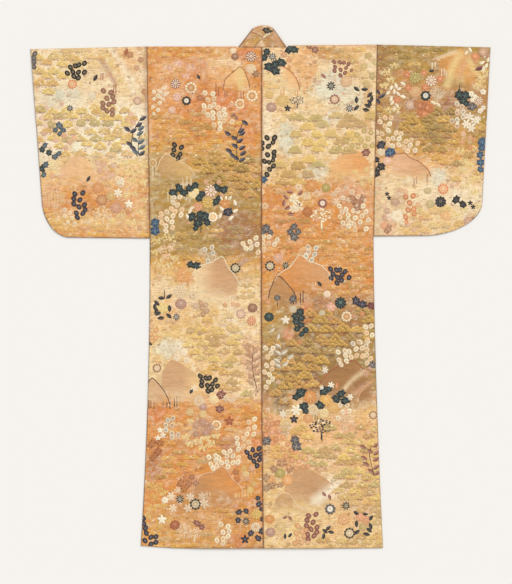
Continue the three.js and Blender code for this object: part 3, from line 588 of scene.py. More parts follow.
        ("maple", "plum", "366,153,4.4"), ("disc", "orange", "311.5,186,6.6"),
        ("flower", "soft cream", "298.5,187,4.4 262,192,3.4 265,206,4"),
        ("disc", "olive", "326,188,4.6"), ("lily", "cream", "294,199,5 298,206,5 293,209,4.4"),
        ("spray", "soft mint", "306,196,5 318,193,5"),
        ("flower", "soft yellow", "355,172,3 366,170,3 370,180,3 362,184,3"),
        ("wreath", "plum", "286,197 284,203 288,208 291,214 299,205 300,193 290,192"),
        ("eye", "plum", "322.5,203.5,5.2"), ("disc", "soft rust", "307.5,212,5.4"),
        ("tree", "cream", "321,216,10"), ("lily", "soft white", "336,202,4 334,194,4"),
        ("bar", "cream", "322,227,7"),
        ("flower", "soft cream", "338,190,3.4 346,188,3 352,192,3.4 343,198,3 358,197,3.4 364,200,3 "
            "349,200,3"),
        ("sprig", "cream", "339,206 346,209.5 353.5,210.5 358,211.5 348,215 355,218 362,216 348,220 "
            "354,224.5 360,222 348.5,226 355,229.5 366,229 342,212 357,205 363,206 340,217 366,212 "
            "368,220 343,223 351,223"),
        ("maple", "soft plum", "357,203,6 352,199,4.4 362,199,4.4 357,209,4.4"),
        ("bar", "soft plum", "356,195,7"),
        ("maple", "slate", "266,229,5 262,233,3.6 270,232,3.6 294,227,4.4 290,232,4 298,232,4 "
            "294,237,4.4"),
        ("sprig", "cream", "263.5,236 269,237 263,241 277,240 268.5,243.5 263.5,246 274.5,244.5 "
            "263.5,250"),
        ("sprig", "willow", "308,247,3.2 316,248,3.2 308.5,252,3.2 314.5,254.5,3.2 306,256,3.2 "
            "311.5,260,3.2"),
        ("ring", "black", "270,266,5.4"), ("daisy", "black", "285.5,265.5,3.8"),
        ("disc", "soft pink", "278,258,5"),
        ("sprig", "navy", "330.5,269 336.5,270 340,270 345,271.5 333,274 342,275 331,278 337.5,277.5 "
            "341.5,280.5 337,283 349,277.5"),
        ("bar", "cream", "313,284,7 315.5,284,7"), ("blade", "ink", "319.5,284,3.2,-40"),
        ("bar", "ink", "275,299,5 277.5,302,9 280,299,6 291,300,8 293.5,300,8 296,300,7 300.5,298,11 "
            "303,296,14"),
        ("disc", "soft white", "327,294,3.8"), ("mum", "teal", "340.5,303,6.2"),
        ("maple", "navy", "356,301,5 362,304.5,5"), ("maple", "slate", "277,298,4 293,299,4.4"),
        ("maple", "wine", "371,306,4"), ("flower", "pink", "331,307,5"),
        ("ring", "cream", "346.5,316.5,5.4"),
        ("disc", "teal", "269,317,5"), ("star", "white", "285.5,320,4.4"),
        ("disc", "soft mint", "293,309,4 322,313,3.4"),
        ("maple", "teal", "300,312,4.2 295,316,3.8 301,318,4 296,322,4 301,325,3.6 297,329,3.4 "
            "306,330,3.8 302,334,3.4"),
        ("sprig", "cream", "365.5,327 371,326 366.5,333 372,335 367,340 360,342"),
        ("blade", "willow", "272,330,3,50 278,337,3,20"),
        ("sprig", "cream", "265.5,348 273,348 271,353 267.5,357 272.5,363 266.5,365.5 272,369 "
            "264.5,372 269.5,374.5 272.5,379 268.5,382 266,387"),
        ("lance", "willow", "278,346 284,352 278,353 290,357 277,361 285,364 278,366"),
        ("sprig", "willow", "353,343.5 359,342 366,346"),
        ("sprig", "cream", "367.5,341 338,352 345,351 349,351.5 356,349 362,348 367,350 345.5,355.5 "
            "351,357 356.5,355.5 362.5,356 366.5,355 339,360 346.5,361 341,364.5 370.5,358.5 367,363"),
        ("maple", "slate", "372,365,4.4"),
        ("maple", "teal", "301,393,5.4 296,397,4.4 324,391,5.6 320,405,5 304,406,5 336,399,5 "
            "345,401,5.4 341,394,5 306,411,3.6 329,389,4"),
        ("disc", "orange", "310,397,6.8"), ("disc", "amber", "326,400,6.6"),
        ("mum", "soft white", "313,410,6.8"),
        ("mum", "soft straw", "324,413,5.6"), ("disc", "soft amber", "334,408,6.4"),
        ("disc", "soft flame", "308,418,5"),
        ("bar", "flame", "337,390,10"), ("blade", "flame", "337,386,3,0"),
        ("lily", "white", "331,385,3.6 322,388,3 350,397,3.6"),
        ("bar", "soft white", "352,404,10 360,404,8 363,405,7 373,403,6 375,404,6"),
        ("lily", "white", "325,370,3.4"), ("lily", "white", "296,410,5.4 283,414,4"),
        ("star", "navy", "294,419,4.4"),
        ("bar", "ink", "322,438,7 312,418,6 315,417,6 317,419,6"), ("tree", "ink", "321,427,10"),
        ("sprig", "cream", "340,405 347,405 343,412 349,411 338,418 343,420 349,417 345,428"),
        ("ring", "brown", "373,415,4.4"),
        ("sprig", "soft flame", "266,412 270,417 265,421 272,424 267,428 277,423 272,432 279,431 "
            "266,435 283,437 276,439"),
        ("maple", "slate", "266.5,441,5.4 295,440,5 296,447,5.6"),
        ("sprig", "soft flame", "288,444 283,449 291,450 286,456 296,452 301,455 292,460 299,461 "
            "306,459 303,467 296,468 308,466 289,467"),
        ("maple", "soft plum", "282,463,5.4 290,469,4.6 274,469,4.4 267,478,5 272,485,5 266,488,4.4 "
            "280,485,3.6"),
        ("disc", "olive", "280,473,5.4"), ("mum", "orange", "271,480,5"),
        ("ring", "orange", "287.5,480,5.6"),
        ("lance", "plum", "363,447 376,445 370,451 376,453 364,458 376,459 366,464 376,467 371,471 "
            "377,473"),
        ("eye", "slate", "330,509,6"), ("daisy", "black", "346,505.5,4.4"),
        ("mum", "soft flame", "344,519,6.4"),
        ("wreath", "ink", "356.5,513 365.5,513.5 370.5,518 356.5,523.5 370.5,526 369,530 366.5,534 "
            "357,532"),
        ("mum", "flame", "360,517,4.8 366,520,4.6"), ("disc", "soft olive", "363,527,4.4"),
        ("ring", "black", "349.5,533,5.8"),
        ("disc", "orange", "269.5,519,5"), ("ring", "soft olive", "281,526,5.2"),
        ("disc", "mauve", "270.5,532,5.2"),
        ("sprig", "plum", "308.5,515.5 316,514 307,520 313,522 306.5,525.5 311,529 317,527 316.5,532 "
            "307.5,534 314,535.5 308,539"),
        ("sprig", "soft flame", "298,526 302,531 296,533 304,536 298,538 302,542 308,542 295,543 "
            "306,530"),
        ("blade", "ink", "325,531,3,-50 328,528,3,50 331,532,3,-80 323.5,536,3,10 285,536,2.6,0 "
            "290,535,2.6,40"),
        ("blade", "plum", "324,494,2.8,-40 329.5,497,2.8,-20 285,517,2.6,60 290,518,2.6,-40"),
        ("flower", "soft flame", "272,206,2.6 268,302,3.4 264,298,3 330,318,3 354,316,3.4 362,314,3.4 "
            "300,342,3"),
        ("flower", "soft pink", "316,220,2.6 278,382,3 366,374,3.6 370,368,3 346,412,3.4 368,432,3 "
            "367,512,3"),
        ("flower", "soft cream", "292,128,3 286,150,3 300,176,3 344,130,3 288,412,3.4 285,400,3 "
            "268,410,3"),
    ],
    "right_sleeve": [
        ("flower", "flame", "407,75,4 408,88,4 425,88,3.8 397,100,4 440,79,4 424,73,3.4"),
        ("flower", "soft rust", "423,107,6 416,104,4 430,110,4 420,113,4"),
        ("flower", "flame", "420,106,3 427,108,3.2 424,114,3"), ("mum", "olive", "415,78,6.4"),
        ("mum", "fawn", "431,81,6.4"),
        ("disc", "soft peach", "415,92,6"), ("ring", "mauve", "410,105,5.4"),
        ("eye", "teal", "425.5,96,5.6"),
        ("tree", "soft mint", "437,94,7"), ("blade", "cream", "433,103,3,-60 438,105,3,-50"),
        ("blade", "white", "391,88,2.6,20 396,86,2.8,-20 403,84,2.8,-60 388,93,2.6,50 394,92,2.6,0 "
            "403,97,2.8,-70 391,99,2.6,20 398,94,2.6,-40 392,103,2.6,40 397,106,2.6,-30 394,109,2.2,10 "
            "399,89,2.4,60"),
        ("maple", "teal", "459,95,5.4 465,96,5.6 463,101,5 466,104,3.6"),
        ("bar", "teal", "459.5,87,10"), ("maple", "slate", "472,107,5"),
        ("sprig", "willow", "457,104 462,107 463,112 457,113 463,117 457,120 457,126 452,121"),
        ("lily", "white", "469,117,4.6 475,121,4.6 466,124,4.6 471,128,4.6 478,119,3"),
        ("mum", "fawn", "478,101,5.4"),
        ("flower", "white", "471,94,3.4 475,97,2.8 483,92,3.4 480,111,3.2 483,108,2.8 472,100,2.6"),
        ("blade", "wine", "479,68.5,4,70"),
        ("disc", "flame", "475,57,4.4"),
        ("bar", "white", "441.5,73,9 444,72,7 446,74,6 432,66,6 435,65,5"),
        ("ring", "soft mauve", "483,52,5"), ("flower", "soft flame", "476,62,3"),
        ("blade", "ink", "431.5,71,2.6,80"),
        ("blade", "white", "482,63,2.6,60 486,66,2.6,30 483,69,2.6,10 470,50,2.4,-30 466,53,2.4,40 "
            "488,60,2.4,20"),
        ("spray", "yellow", "481,79,5 485,72,4 476,86,4"),
        ("sprig", "cream", "385,118 391,118 380,122 389.5,124 385,126.5 388,130.5 376.5,132.5 382,134 "
            "396,133 401,134 379,138.5 388,139.5 393,138.5 399,139 388,144.5 392.5,146 398.5,145 "
            "403.5,147 406,141.5 411,140.5 410,145.5 417.5,143.5 407.5,151 415,150.5"),
        ("lance", "navy", "377,92 382,96 377,101"),
        ("maple", "navy", "381,145.5,5.4"), ("maple", "blue", "390,153,5.4"),
        ("blade", "mint", "457,124,3,30"),
        ("maple", "blue", "482,142,4.8 482,148,4 480,155,4.4 480.5,163,4.4 480.5,170,3.6"),
        ("ring", "pink", "387.5,161,4.6"), ("disc", "soft mint", "381,152,4.6"),
        ("maple", "ink", "376,160,3.6 381,167,4.6 376,173,5.2"),
        ("bar", "brown", "414,180,8 416.5,179,9 427,178,7"),
        ("ring", "flame", "443,189,5.6"), ("disc", "soft olive", "427.5,191,3.8"),
        ("mum", "ink", "440.5,202,6"),
        ("maple", "ink", "456,200,4.2 462.5,204.5,4.2"),
        ("star", "ink", "470,203,2.6 473,207,2.6 387,194,2.4 389,198,2.4"),
        ("sprig", "flame", "405.5,197 413,196 409.5,203 408,210 413.5,209 414,214 405.5,217 405.5,222"),
        ("flower", "soft white", "397,216,7 389,217,4 403,222,4"),
        ("disc", "soft mauve", "395,202,4.6"), ("flower", "soft mauve", "387,211,3.8 385,218,3.4"),
        ("ring", "soft orange", "445.5,216,5.2"), ("maple", "soft plum", "388,229,5"),
        ("disc", "soft olive", "430,204,4.6"),
        ("disc", "soft mauve", "468,222,5"),
        ("flower", "soft flame", "384,226,4 400,190,3 405,192,3 418,205,3 421,218,3"),
        ("spray", "soft mint", "437,174,7"),
        ("spray", "yellow", "460,152,5 464,161,5 461,170,5 470,165,4 473,180,5 465,186,5 475,193,4 "
            "456,216,5 464,210,4 478,178,4 478,206,4"),
        ("flower", "soft pink", "384,206,3.4 379,198,3 452,186,2.6 408,225,3 414,230,3 463,134,3.4 "
            "470,138,3.2"),
        ("spray", "yellow", "386,73,5 391,80,4 394,66,4 384,86,4 396,110,4 388,110,4"),
        ("flower", "soft flame", "462,142,3.6 470,148,3.4 474,140,3"),
    ],
    "collar": [
        ("maple", "black", "265.8,30.4,3.8,20 268,31.4,3,70 266.4,27.6,2.8,50"),
        ("blade", "black", "271.5,31.4,1.7,70"), ("flower", "soft cream", "272,28.6,1.5 261,44,2"),
    ],
}
PLAIN_KINDS = ("sprig", "maple", "mum", "disc")  # the motifs that the hidden overlaps repeat
for overlap, panel in (("left_overlap", "right_body_panel"), ("right_overlap", "left_body_panel")):
    CHART[overlap] = [entry for entry in CHART[panel] if entry[0] in PLAIN_KINDS]


# ---- Sizes worked out from the form ----
def numbers(text):
    """Places or other values, written as groups with commas in them and spaces between them."""
    return [[float(value) for value in group.split(",")] for group in text.split()]


def smooth(share):
    share = np.clip(share, 0, 1)
    return share * share * (3 - 2 * share)


def mix(start, end, share):
    return start + (end - start) * share


def middle_x(y):
    """X of the back's middle seam at a height."""
    waist, waist_y = MIDDLE["waist"], MIDDLE["waist_y"]
    up = waist + MIDDLE["neck_drift"] * (y - waist_y) / (MIDDLE["neck_y"] - waist_y)
    down = np.clip((waist_y - y) / (waist_y - HEM), 0, None)
    return np.where(y > waist_y, up, waist + MIDDLE["hem_drift"] * down ** MIDDLE["hem_power"])


def side_half(side, y):
    """Half width of one side of the body at a height."""
    up = (y - side["foot"]) / (side["shoulder_seam"] - side["foot"])
    down = np.clip((side["foot"] - y) / (side["foot"] - HEM), 0, None)
    low = side["foot_half"] + side["flare"] * down ** side["flare_power"]
    return np.where(y > side["foot"], mix(side["foot_half"], side["shoulder_half"], up), low)


def fade(distance, width):
    """1 on a line, falling evenly to 0 at a width from it."""
    return np.clip(1 - distance / width, 0, 1)


def ridges(table, x, y):
    total = np.zeros(np.broadcast(x, y).shape)
    for fx, fy, turn, long, wide, high in table:
        cos, sin = math.cos(math.radians(turn)), math.sin(math.radians(turn))
        along = (x - fx) * cos + (y - fy) * sin
        across = (y - fy) * cos - (x - fx) * sin
        reach = np.clip(1 - (2 * along / long) ** 2, 0, None)
        total += high * reach ** 2 * np.exp(-((2 * across / wide) ** 2))
    return total


def ripple(x, y):
    """The slight unevenness of cloth that lies untouched."""
    return (0.16 * np.sin(x / 23 + 1.3 * np.sin(y / 61)) * np.sin(y / 47 + 0.8 * np.sin(x / 39))
            + 0.09 * np.sin(x / 11 + y / 29) * np.sin(y / 17 - x / 31) + 0.12)


def lift(x, y):
    """How far the upper side stands off the layer below."""
    return np.maximum(ridges(FOLDS, x, y) + ridges(CREASES, x, y) + ripple(x, y), -0.1)


LATTICE = 128  # cells across and down before the noise repeats itself
LATTICE_SHIFT = 1000  # cells between the chart's corner and the lattice's


def noise(x, y, cell, seed):
    """Smooth random values from -1 to 1 on a lattice of cells."""
    table = np.random.default_rng(seed).uniform(-1, 1, (LATTICE, LATTICE))
    cell_x, cell_y = cell
    u, v = np.asarray(x) / cell_x + LATTICE_SHIFT, np.asarray(y) / cell_y + LATTICE_SHIFT
    i, j = np.floor(u).astype(int), np.floor(v).astype(int)
    a, b = smooth(u - i), smooth(v - j)

    def at(p, q):
        return table[q % LATTICE, p % LATTICE]

    low = mix(at(i, j), at(i + 1, j), a)
    high = mix(at(i, j + 1), at(i + 1, j + 1), a)
    return mix(low, high, b)


def lapped(share):
    return 1 - smooth((share - LAP) / (LAP_END - LAP))


def hem_corner(share):
    """How much of a hem's rise is reached at a share of the panel's width."""
    return np.clip((share - 0.6) / 0.4, 0, 1) ** 1.5


def neck_y(side, x):
    return NECK_BACK - (side["neck_half"] - side["sign"] * x) / NECK_SLOPE


def pucker(distance, along):
    """The dip and small gathers beside a seam."""
    near, gather = fade(distance, 5) ** 2, fade(distance, 18) ** 2
    return -0.75 * near + 0.16 * gather * np.sin(along / 6.5 + 2 * np.sin(along / 41))


class Body:
    """One side of the body: its outline, and the heights of its two outer surfaces."""

    def __init__(self, key):
        self.side = SIDES[key]
        self.sign = self.side["sign"]

    def edges(self, y):
        return middle_x(y) + self.sign * SEAM / 2, self.sign * side_half(self.side, y)

    def share(self, x, y):
        inner, outer = self.edges(y)
        return np.clip((x - inner) / (outer - inner), 0, 1)

    def keep(self, x, y, margin):
        rise = self.side["hem_rise"] * hem_corner(np.abs(x) / self.edges(HEM)[1] * self.sign)
        y = np.clip(y, HEM + rise + margin, self.side["shoulder_neck"] - margin)
        x_near = np.abs(x) < self.side["neck_half"]
        y = np.where(x_near, np.minimum(y, NECK_BACK - margin), y)
        inner, outer = self.edges(y)
        low, high = np.minimum(inner, outer) + margin, np.maximum(inner, outer) - margin
        return np.clip(x, low, high), y

    def over(self, x, y):
        share = self.share(x, y)
        inner, outer = self.edges(y)
        seam = pucker(np.abs(x - inner), y)
        side_seam = np.where(y > self.side["foot"], pucker(np.abs(outer - x), y), 0)
        return LAYER * (1 + lapped(share)) + CLOTH + lift(x, y) + seam + side_seam

    def under(self, x, y):
        rise = LAYER * lapped(self.share(x, y)) if self.sign > 0 else 0
        return np.full(np.broadcast(x, y).shape, UNDER_RISE) + rise


class Sleeve:
    def __init__(self, key):
        self.side = SIDES[key]
        self.sign = self.side["sign"]

    def reach(self, y):
        """How far out the sleeve's end is, at a height."""
        side = self.side
        turn = np.arccos(np.clip(1 - (y - side["sleeve_foot_end"]) / side["corner_up"], 0, 1))
        slanted = SLEEVE_REACH - side["slant"] * (side["cuff_top"] - y)
        return slanted - side["corner_across"] * (1 - np.sin(turn))

    def top(self, x):
        share = (np.abs(x) - self.side["shoulder_half"]) / (SLEEVE_REACH - self.side["shoulder_half"])
        return mix(self.side["shoulder_seam"], self.side["cuff_top"], np.clip(share, 0, 1))

    def keep(self, x, y, margin):
        y = np.clip(y, self.side["sleeve_foot_end"] + margin + 1, self.top(x) - margin)
        far = np.clip(np.abs(x), side_half(self.side, y) + SEAM + margin, self.reach(y) - margin)
        return self.sign * far, y

    def over(self, x, y):
        seam = pucker(np.abs(np.abs(x) - side_half(self.side, y) - SEAM), y)
        return LAYER + CLOTH + lift(x, y) + seam

    def under(self, x, y):
        return np.full(np.broadcast(x, y).shape, UNDER_RISE)


class Overlap:
    """The half-width strip in front, past the middle."""

    def __init__(self, key, height):
        self.side = SIDES[key]
        self.sign = self.side["sign"]
        self.height = height

    def edges(self, y):
        return middle_x(y) - self.sign * SEAM / 2, np.full(np.shape(y), -self.sign * OVERLAP_EDGE)

    def keep(self, x, y, margin):
        inner, outer = self.edges(y)
        low, high = np.minimum(inner, outer) + margin, np.maximum(inner, outer) - margin
        x = np.clip(x, low, high)
        return x, np.clip(y, HEM + margin, neck_y(self.side, x) - margin)

    def over(self, x, y):
        return np.full(np.broadcast(x, y).shape, self.height + CLOTH)

    def under(self, x, y):
        return np.full(np.broadcast(x, y).shape, self.height + UNDER_RISE)


CROWN_ROOM = 6  # threads stay this far below the collar's crown, since its top edge is curved


class Collar:
    """The stretch of the collar that shows behind the neck."""

    def keep(self, x, y, margin):
        left, right = COLLAR_FOLDS["left"], COLLAR_FOLDS["right"]
        y = np.clip(y, NECK_BACK + margin, COLLAR_TOP - CROWN_ROOM - margin)
        up = (y - NECK_BACK) / (left["head"][1] - NECK_BACK)
        low = mix(left["foot"][0], left["head"][0], up) + margin
        high = mix(right["foot"][0], right["head"][0], up) - margin
        return np.clip(x, low, high), y

    def over(self, x, y):
        return np.full(np.broadcast(x, y).shape, 2 * LAYER + CLOTH)


SPANS = {  # the chart's columns and rows that each piece takes up
    "left_body_panel": ((140, 46), (264, 549)), "right_body_panel": ((258, 46), (384, 549)),
    "left_sleeve": ((30, 46), (151, 239)), "right_sleeve": ((372, 46), (491, 239)),
    "left_overlap": ((258, 116), (314, 549)), "right_overlap": ((207, 120), (264, 549)),
    "collar": ((238, 26), (286, 48)),
}
FORMS = {
    "left_body_panel": Body("left"), "right_body_panel": Body("right"),
    "left_sleeve": Sleeve("left"), "right_sleeve": Sleeve("right"),
    "left_overlap": Overlap("left", 0), "right_overlap": Overlap("right", LAYER),
    "collar": Collar(),
}


# ---- Dyeing: the ground's colour at a point ----
def to_chart(x, y):
    return x / STEP + CHART_MIDDLE[0], CHART_MIDDLE[1] - y / STEP


def from_chart(column, row):
    return (column - CHART_MIDDLE[0]) * STEP, (CHART_MIDDLE[1] - row) * STEP


def painted_sheen(name, column, row, colour):
    """The colour under the piece's painted sheen: soft bright and dark streaks that stand in for light on
    the silk.
    """
    for hue, width, share, text in SHEEN_STREAKS.get(name, []):
        points = numbers(text)
        away = np.full(np.shape(column), np.inf)
        for (ax, ay), (bx, by) in zip(points, points[1:]):
            dx, dy = bx - ax, by - ay
            near = np.clip(((column - ax) * dx + (row - ay) * dy) / (dx ** 2 + dy ** 2), 0, 1)
            away = np.minimum(away, np.hypot(column - ax - near * dx, row - ay - near * dy))
        colour = mix(colour, HUE[hue], (share * (1 - smooth(away / width)))[..., None])
    return colour


# Unevenness of the dyed ground: colour, strength, cell in steps, seed of the noise and its sign
GROUND_FLECKS = [
    ("pale", 0.46, (3.4, 1.5), 7, 1), ("gold", 0.32, (3.4, 1.5), 7, -1),
    ("rose", 0.22, (9, 4), 9, 1), ("brown", 0.26, (5, 2.4), 13, 1),
]
ZONE_CORE, ZONE_EDGE = 0.55, 0.75  # a zone is even inside the core and fades over the edge


def ground(name, x, y):
    """Blocks of colour with soft edges, stepped from warp to warp, in linear light."""
    column, row = to_chart(x, y)
    warp = noise(column, np.zeros_like(row), (0.9, 1), 3)
    drift = noise(column, row, (14, 60), 5)
    shifted = row + 2.2 * warp + 3.2 * drift
    stops = [stop.split(",") for stop in GROUND[name]["bands"].split()]
    rows = [float(stop[0]) for stop in stops]
    hues = np.array([HUE[stop[1]] for stop in stops])
    colour = np.stack([np.interp(shifted, rows, hues[:, k]) for k in range(3)], axis=-1)
    for c, r, half_c, half_r, hue, strength in GROUND[name]["zones"]:
        across, down = column - c + 1.5 * drift, shifted - r
        away = np.sqrt((across / half_c) ** 2 + (down / half_r) ** 2)
        share = strength * (1 - smooth((away - ZONE_CORE) / ZONE_EDGE))
        colour = mix(colour, HUE[hue], share[..., None])
    # painted sheen: bright and dark streaks of light on the silk, painted into the ground's colour
    colour = painted_sheen(name, column, row, colour)
    for hue, strength, cell, seed, sign in GROUND_FLECKS:
        share = strength * np.clip(sign * noise(column, row, cell, seed), 0, 1)
        colour = mix(colour, HUE[hue], share[..., None])
    return colour * (1 + 0.07 * noise(column, row, (2, 1), 11))[..., None]


FOLD_HIGHLIGHT = (8, 5, 520)  # painted highlight along a pressed fold: its distance from the armhole, its half width, and its lowest height
STRIP_TOP = 480  # the right sleeve's shaded strip is stronger above this height


def seam_shade(name, x, y, colour):
    """Darker lines along the seams, painted shade along the folded edges, the hem, the sleeves' ends and
    feet, the collar's sides and in the strip beside the armholes, and a painted highlight along a pressed
    fold by the armholes.
    """
    form = FORMS[name]

    def darken(hue, depth, share):
        return mix(colour, HUE[hue] * depth, share[..., None])

    if isinstance(form, Body):
        inner, outer = form.edges(y)
        away = np.abs(x - inner)
        colour = darken("rust", 1, 0.4 * fade(away, 7))
        colour = darken("brown", 0.6, 0.85 * fade(away, 3.2) ** 0.6)
        away = np.abs(outer - x)
        sewn = y > form.side["foot"]
        # darker along the outer edge: the armhole seam above the sleeves' foot, and painted shade along the
        # folded side below it
        side = np.where(sewn, fade(away, 3), 0.6 * fade(away, 2.4))
        # painted highlight: a pale strip along the pressed fold beside the armhole
        highlight_at, highlight_half, highlight_foot = FOLD_HIGHLIGHT
        fold = np.where(sewn & (y < highlight_foot), fade(np.abs(away - highlight_at), highlight_half), 0)
        colour = darken("pale", 1, 0.3 * fold)
        colour = darken("brown", 0.7, 0.7 * side)
        # painted shade along the hem's fold
        colour = darken("brown", 0.7, 0.5 * fade(y - HEM - form.side["hem_rise"] * 0.4, 4))
    if isinstance(form, Collar):
        # painted shadow lines along the collar's sloping sides; the wine line at its foot is the neck seam
        kept = form.keep(x, np.maximum(y, NECK_BACK + 3), 2.6)
        colour = darken("brown", 0.55, 0.75 * np.clip(np.abs(kept[0] - x) / 2.6, 0, 1))
        colour = darken("wine", 0.7, 0.8 * fade(np.abs(y - NECK_BACK), 3))
    if isinstance(form, Sleeve):
        away = np.abs(x) - side_half(form.side, y) - SEAM
        # painted shade: a brown strip beside the armhole seam, wider on the right sleeve
        strip = np.clip(1.6 - away / (26 if form.sign > 0 else 9), 0, 1) * 0.5
        strip = np.where(y > STRIP_TOP, strip, strip * 0.4) if form.sign > 0 else strip
        colour = darken("brown", 1, strip)
        colour = darken("wine", 0.6, 0.7 * fade(away, 3))
        # painted shade along the sleeve's end and along its foot
        rim = np.maximum(fade(form.reach(y) - np.abs(x), 2.6), fade(y - form.side["sleeve_foot_seam"], 4.5))
        colour = darken("brown", 0.7, 0.55 * rim)
    return colour


# ---- Meshes ----
MAP_GAP = 12  # millimetres between layers in the bake map
MAP_MARGIN = 0.01  # free border of the bake map, as a share of it
EDGE_STEPS = (0, 1.4, 3, 5.5, 9)  # rows of points this far in from an edge, where seams pucker
EDGE_SHADE = 0.62  # painted shade: the cloth's cut edges are this much darker
EDGE_TOP = 7.0  # a height above every layer, from which edges are laid out in the map
CAP_SHIFT = np.array([0, 4.0])  # sets the caps at a seam's end apart from the edges in the map
FOLD_FACETS = 6  # faces round a folded edge


class Build:
    """Points in millimetres, faces, and a colour and a flat place in the bake map for each corner."""

    def __init__(self):
        self.points, self.faces, self.places, self.colours = [], [], [], []

    def add_points(self, points):
        start = len(self.points)
        self.points.extend(points)
        return start

    def mesh(self, name, material, span):
        mesh = bpy.data.meshes.new(name)
        mesh.from_pydata([tuple(float(v) * METRE for v in p) for p in self.points], [], self.faces)
        flat = np.array([uv for face in self.places for uv in face], dtype=np.float32)
        flat = (flat - flat.min(axis=0)) / span * (1 - 2 * MAP_MARGIN) + MAP_MARGIN
        mesh.uv_layers.new(name="OFBake").data.foreach_set("uv", flat.ravel())
        tint = np.array([c for face in self.colours for c in face], dtype=np.float32)
        tint = np.concatenate([tint, np.ones((len(tint), 1), np.float32)], axis=1)
        mesh.color_attributes.new("dye", "FLOAT_COLOR", "CORNER").data.foreach_set("color", tint.ravel())
        mesh.polygons.foreach_set("use_smooth", [True] * len(mesh.polygons))
        mesh.materials.append(material)
        piece = bpy.data.objects.new(name, mesh)
        bpy.context.scene.collection.objects.link(piece)
        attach(piece, "root")
        return piece


def boundary(columns, rows):
    """The grid's edge, counter-clockwise from above, as (column, row, edge that follows)."""
    out = [(i, 0, "foot") for i in range(columns)] + [(columns, j, "east") for j in range(rows)]
    back = [(i, rows, "head") for i in range(columns, 0, -1)] + [(0, j, "west") for j in range(rows, 0, -1)]
    return out + back


def grid_faces(ids, flip):
    """The quads between a grid's points, turned over where they face down."""
    near, far = ids[:-1], ids[1:]
    if flip:
        loop = [near[:, :-1], far[:, :-1], far[:, 1:], near[:, 1:]]
    else:
        loop = [near[:, :-1], near[:, 1:], far[:, 1:], far[:, :-1]]
    return np.stack(loop, axis=-1).reshape(-1, 4)


def layer_colour(name, x, y):
    return np.clip(seam_shade(name, x, y, ground(name, x, y)), 0, 1)


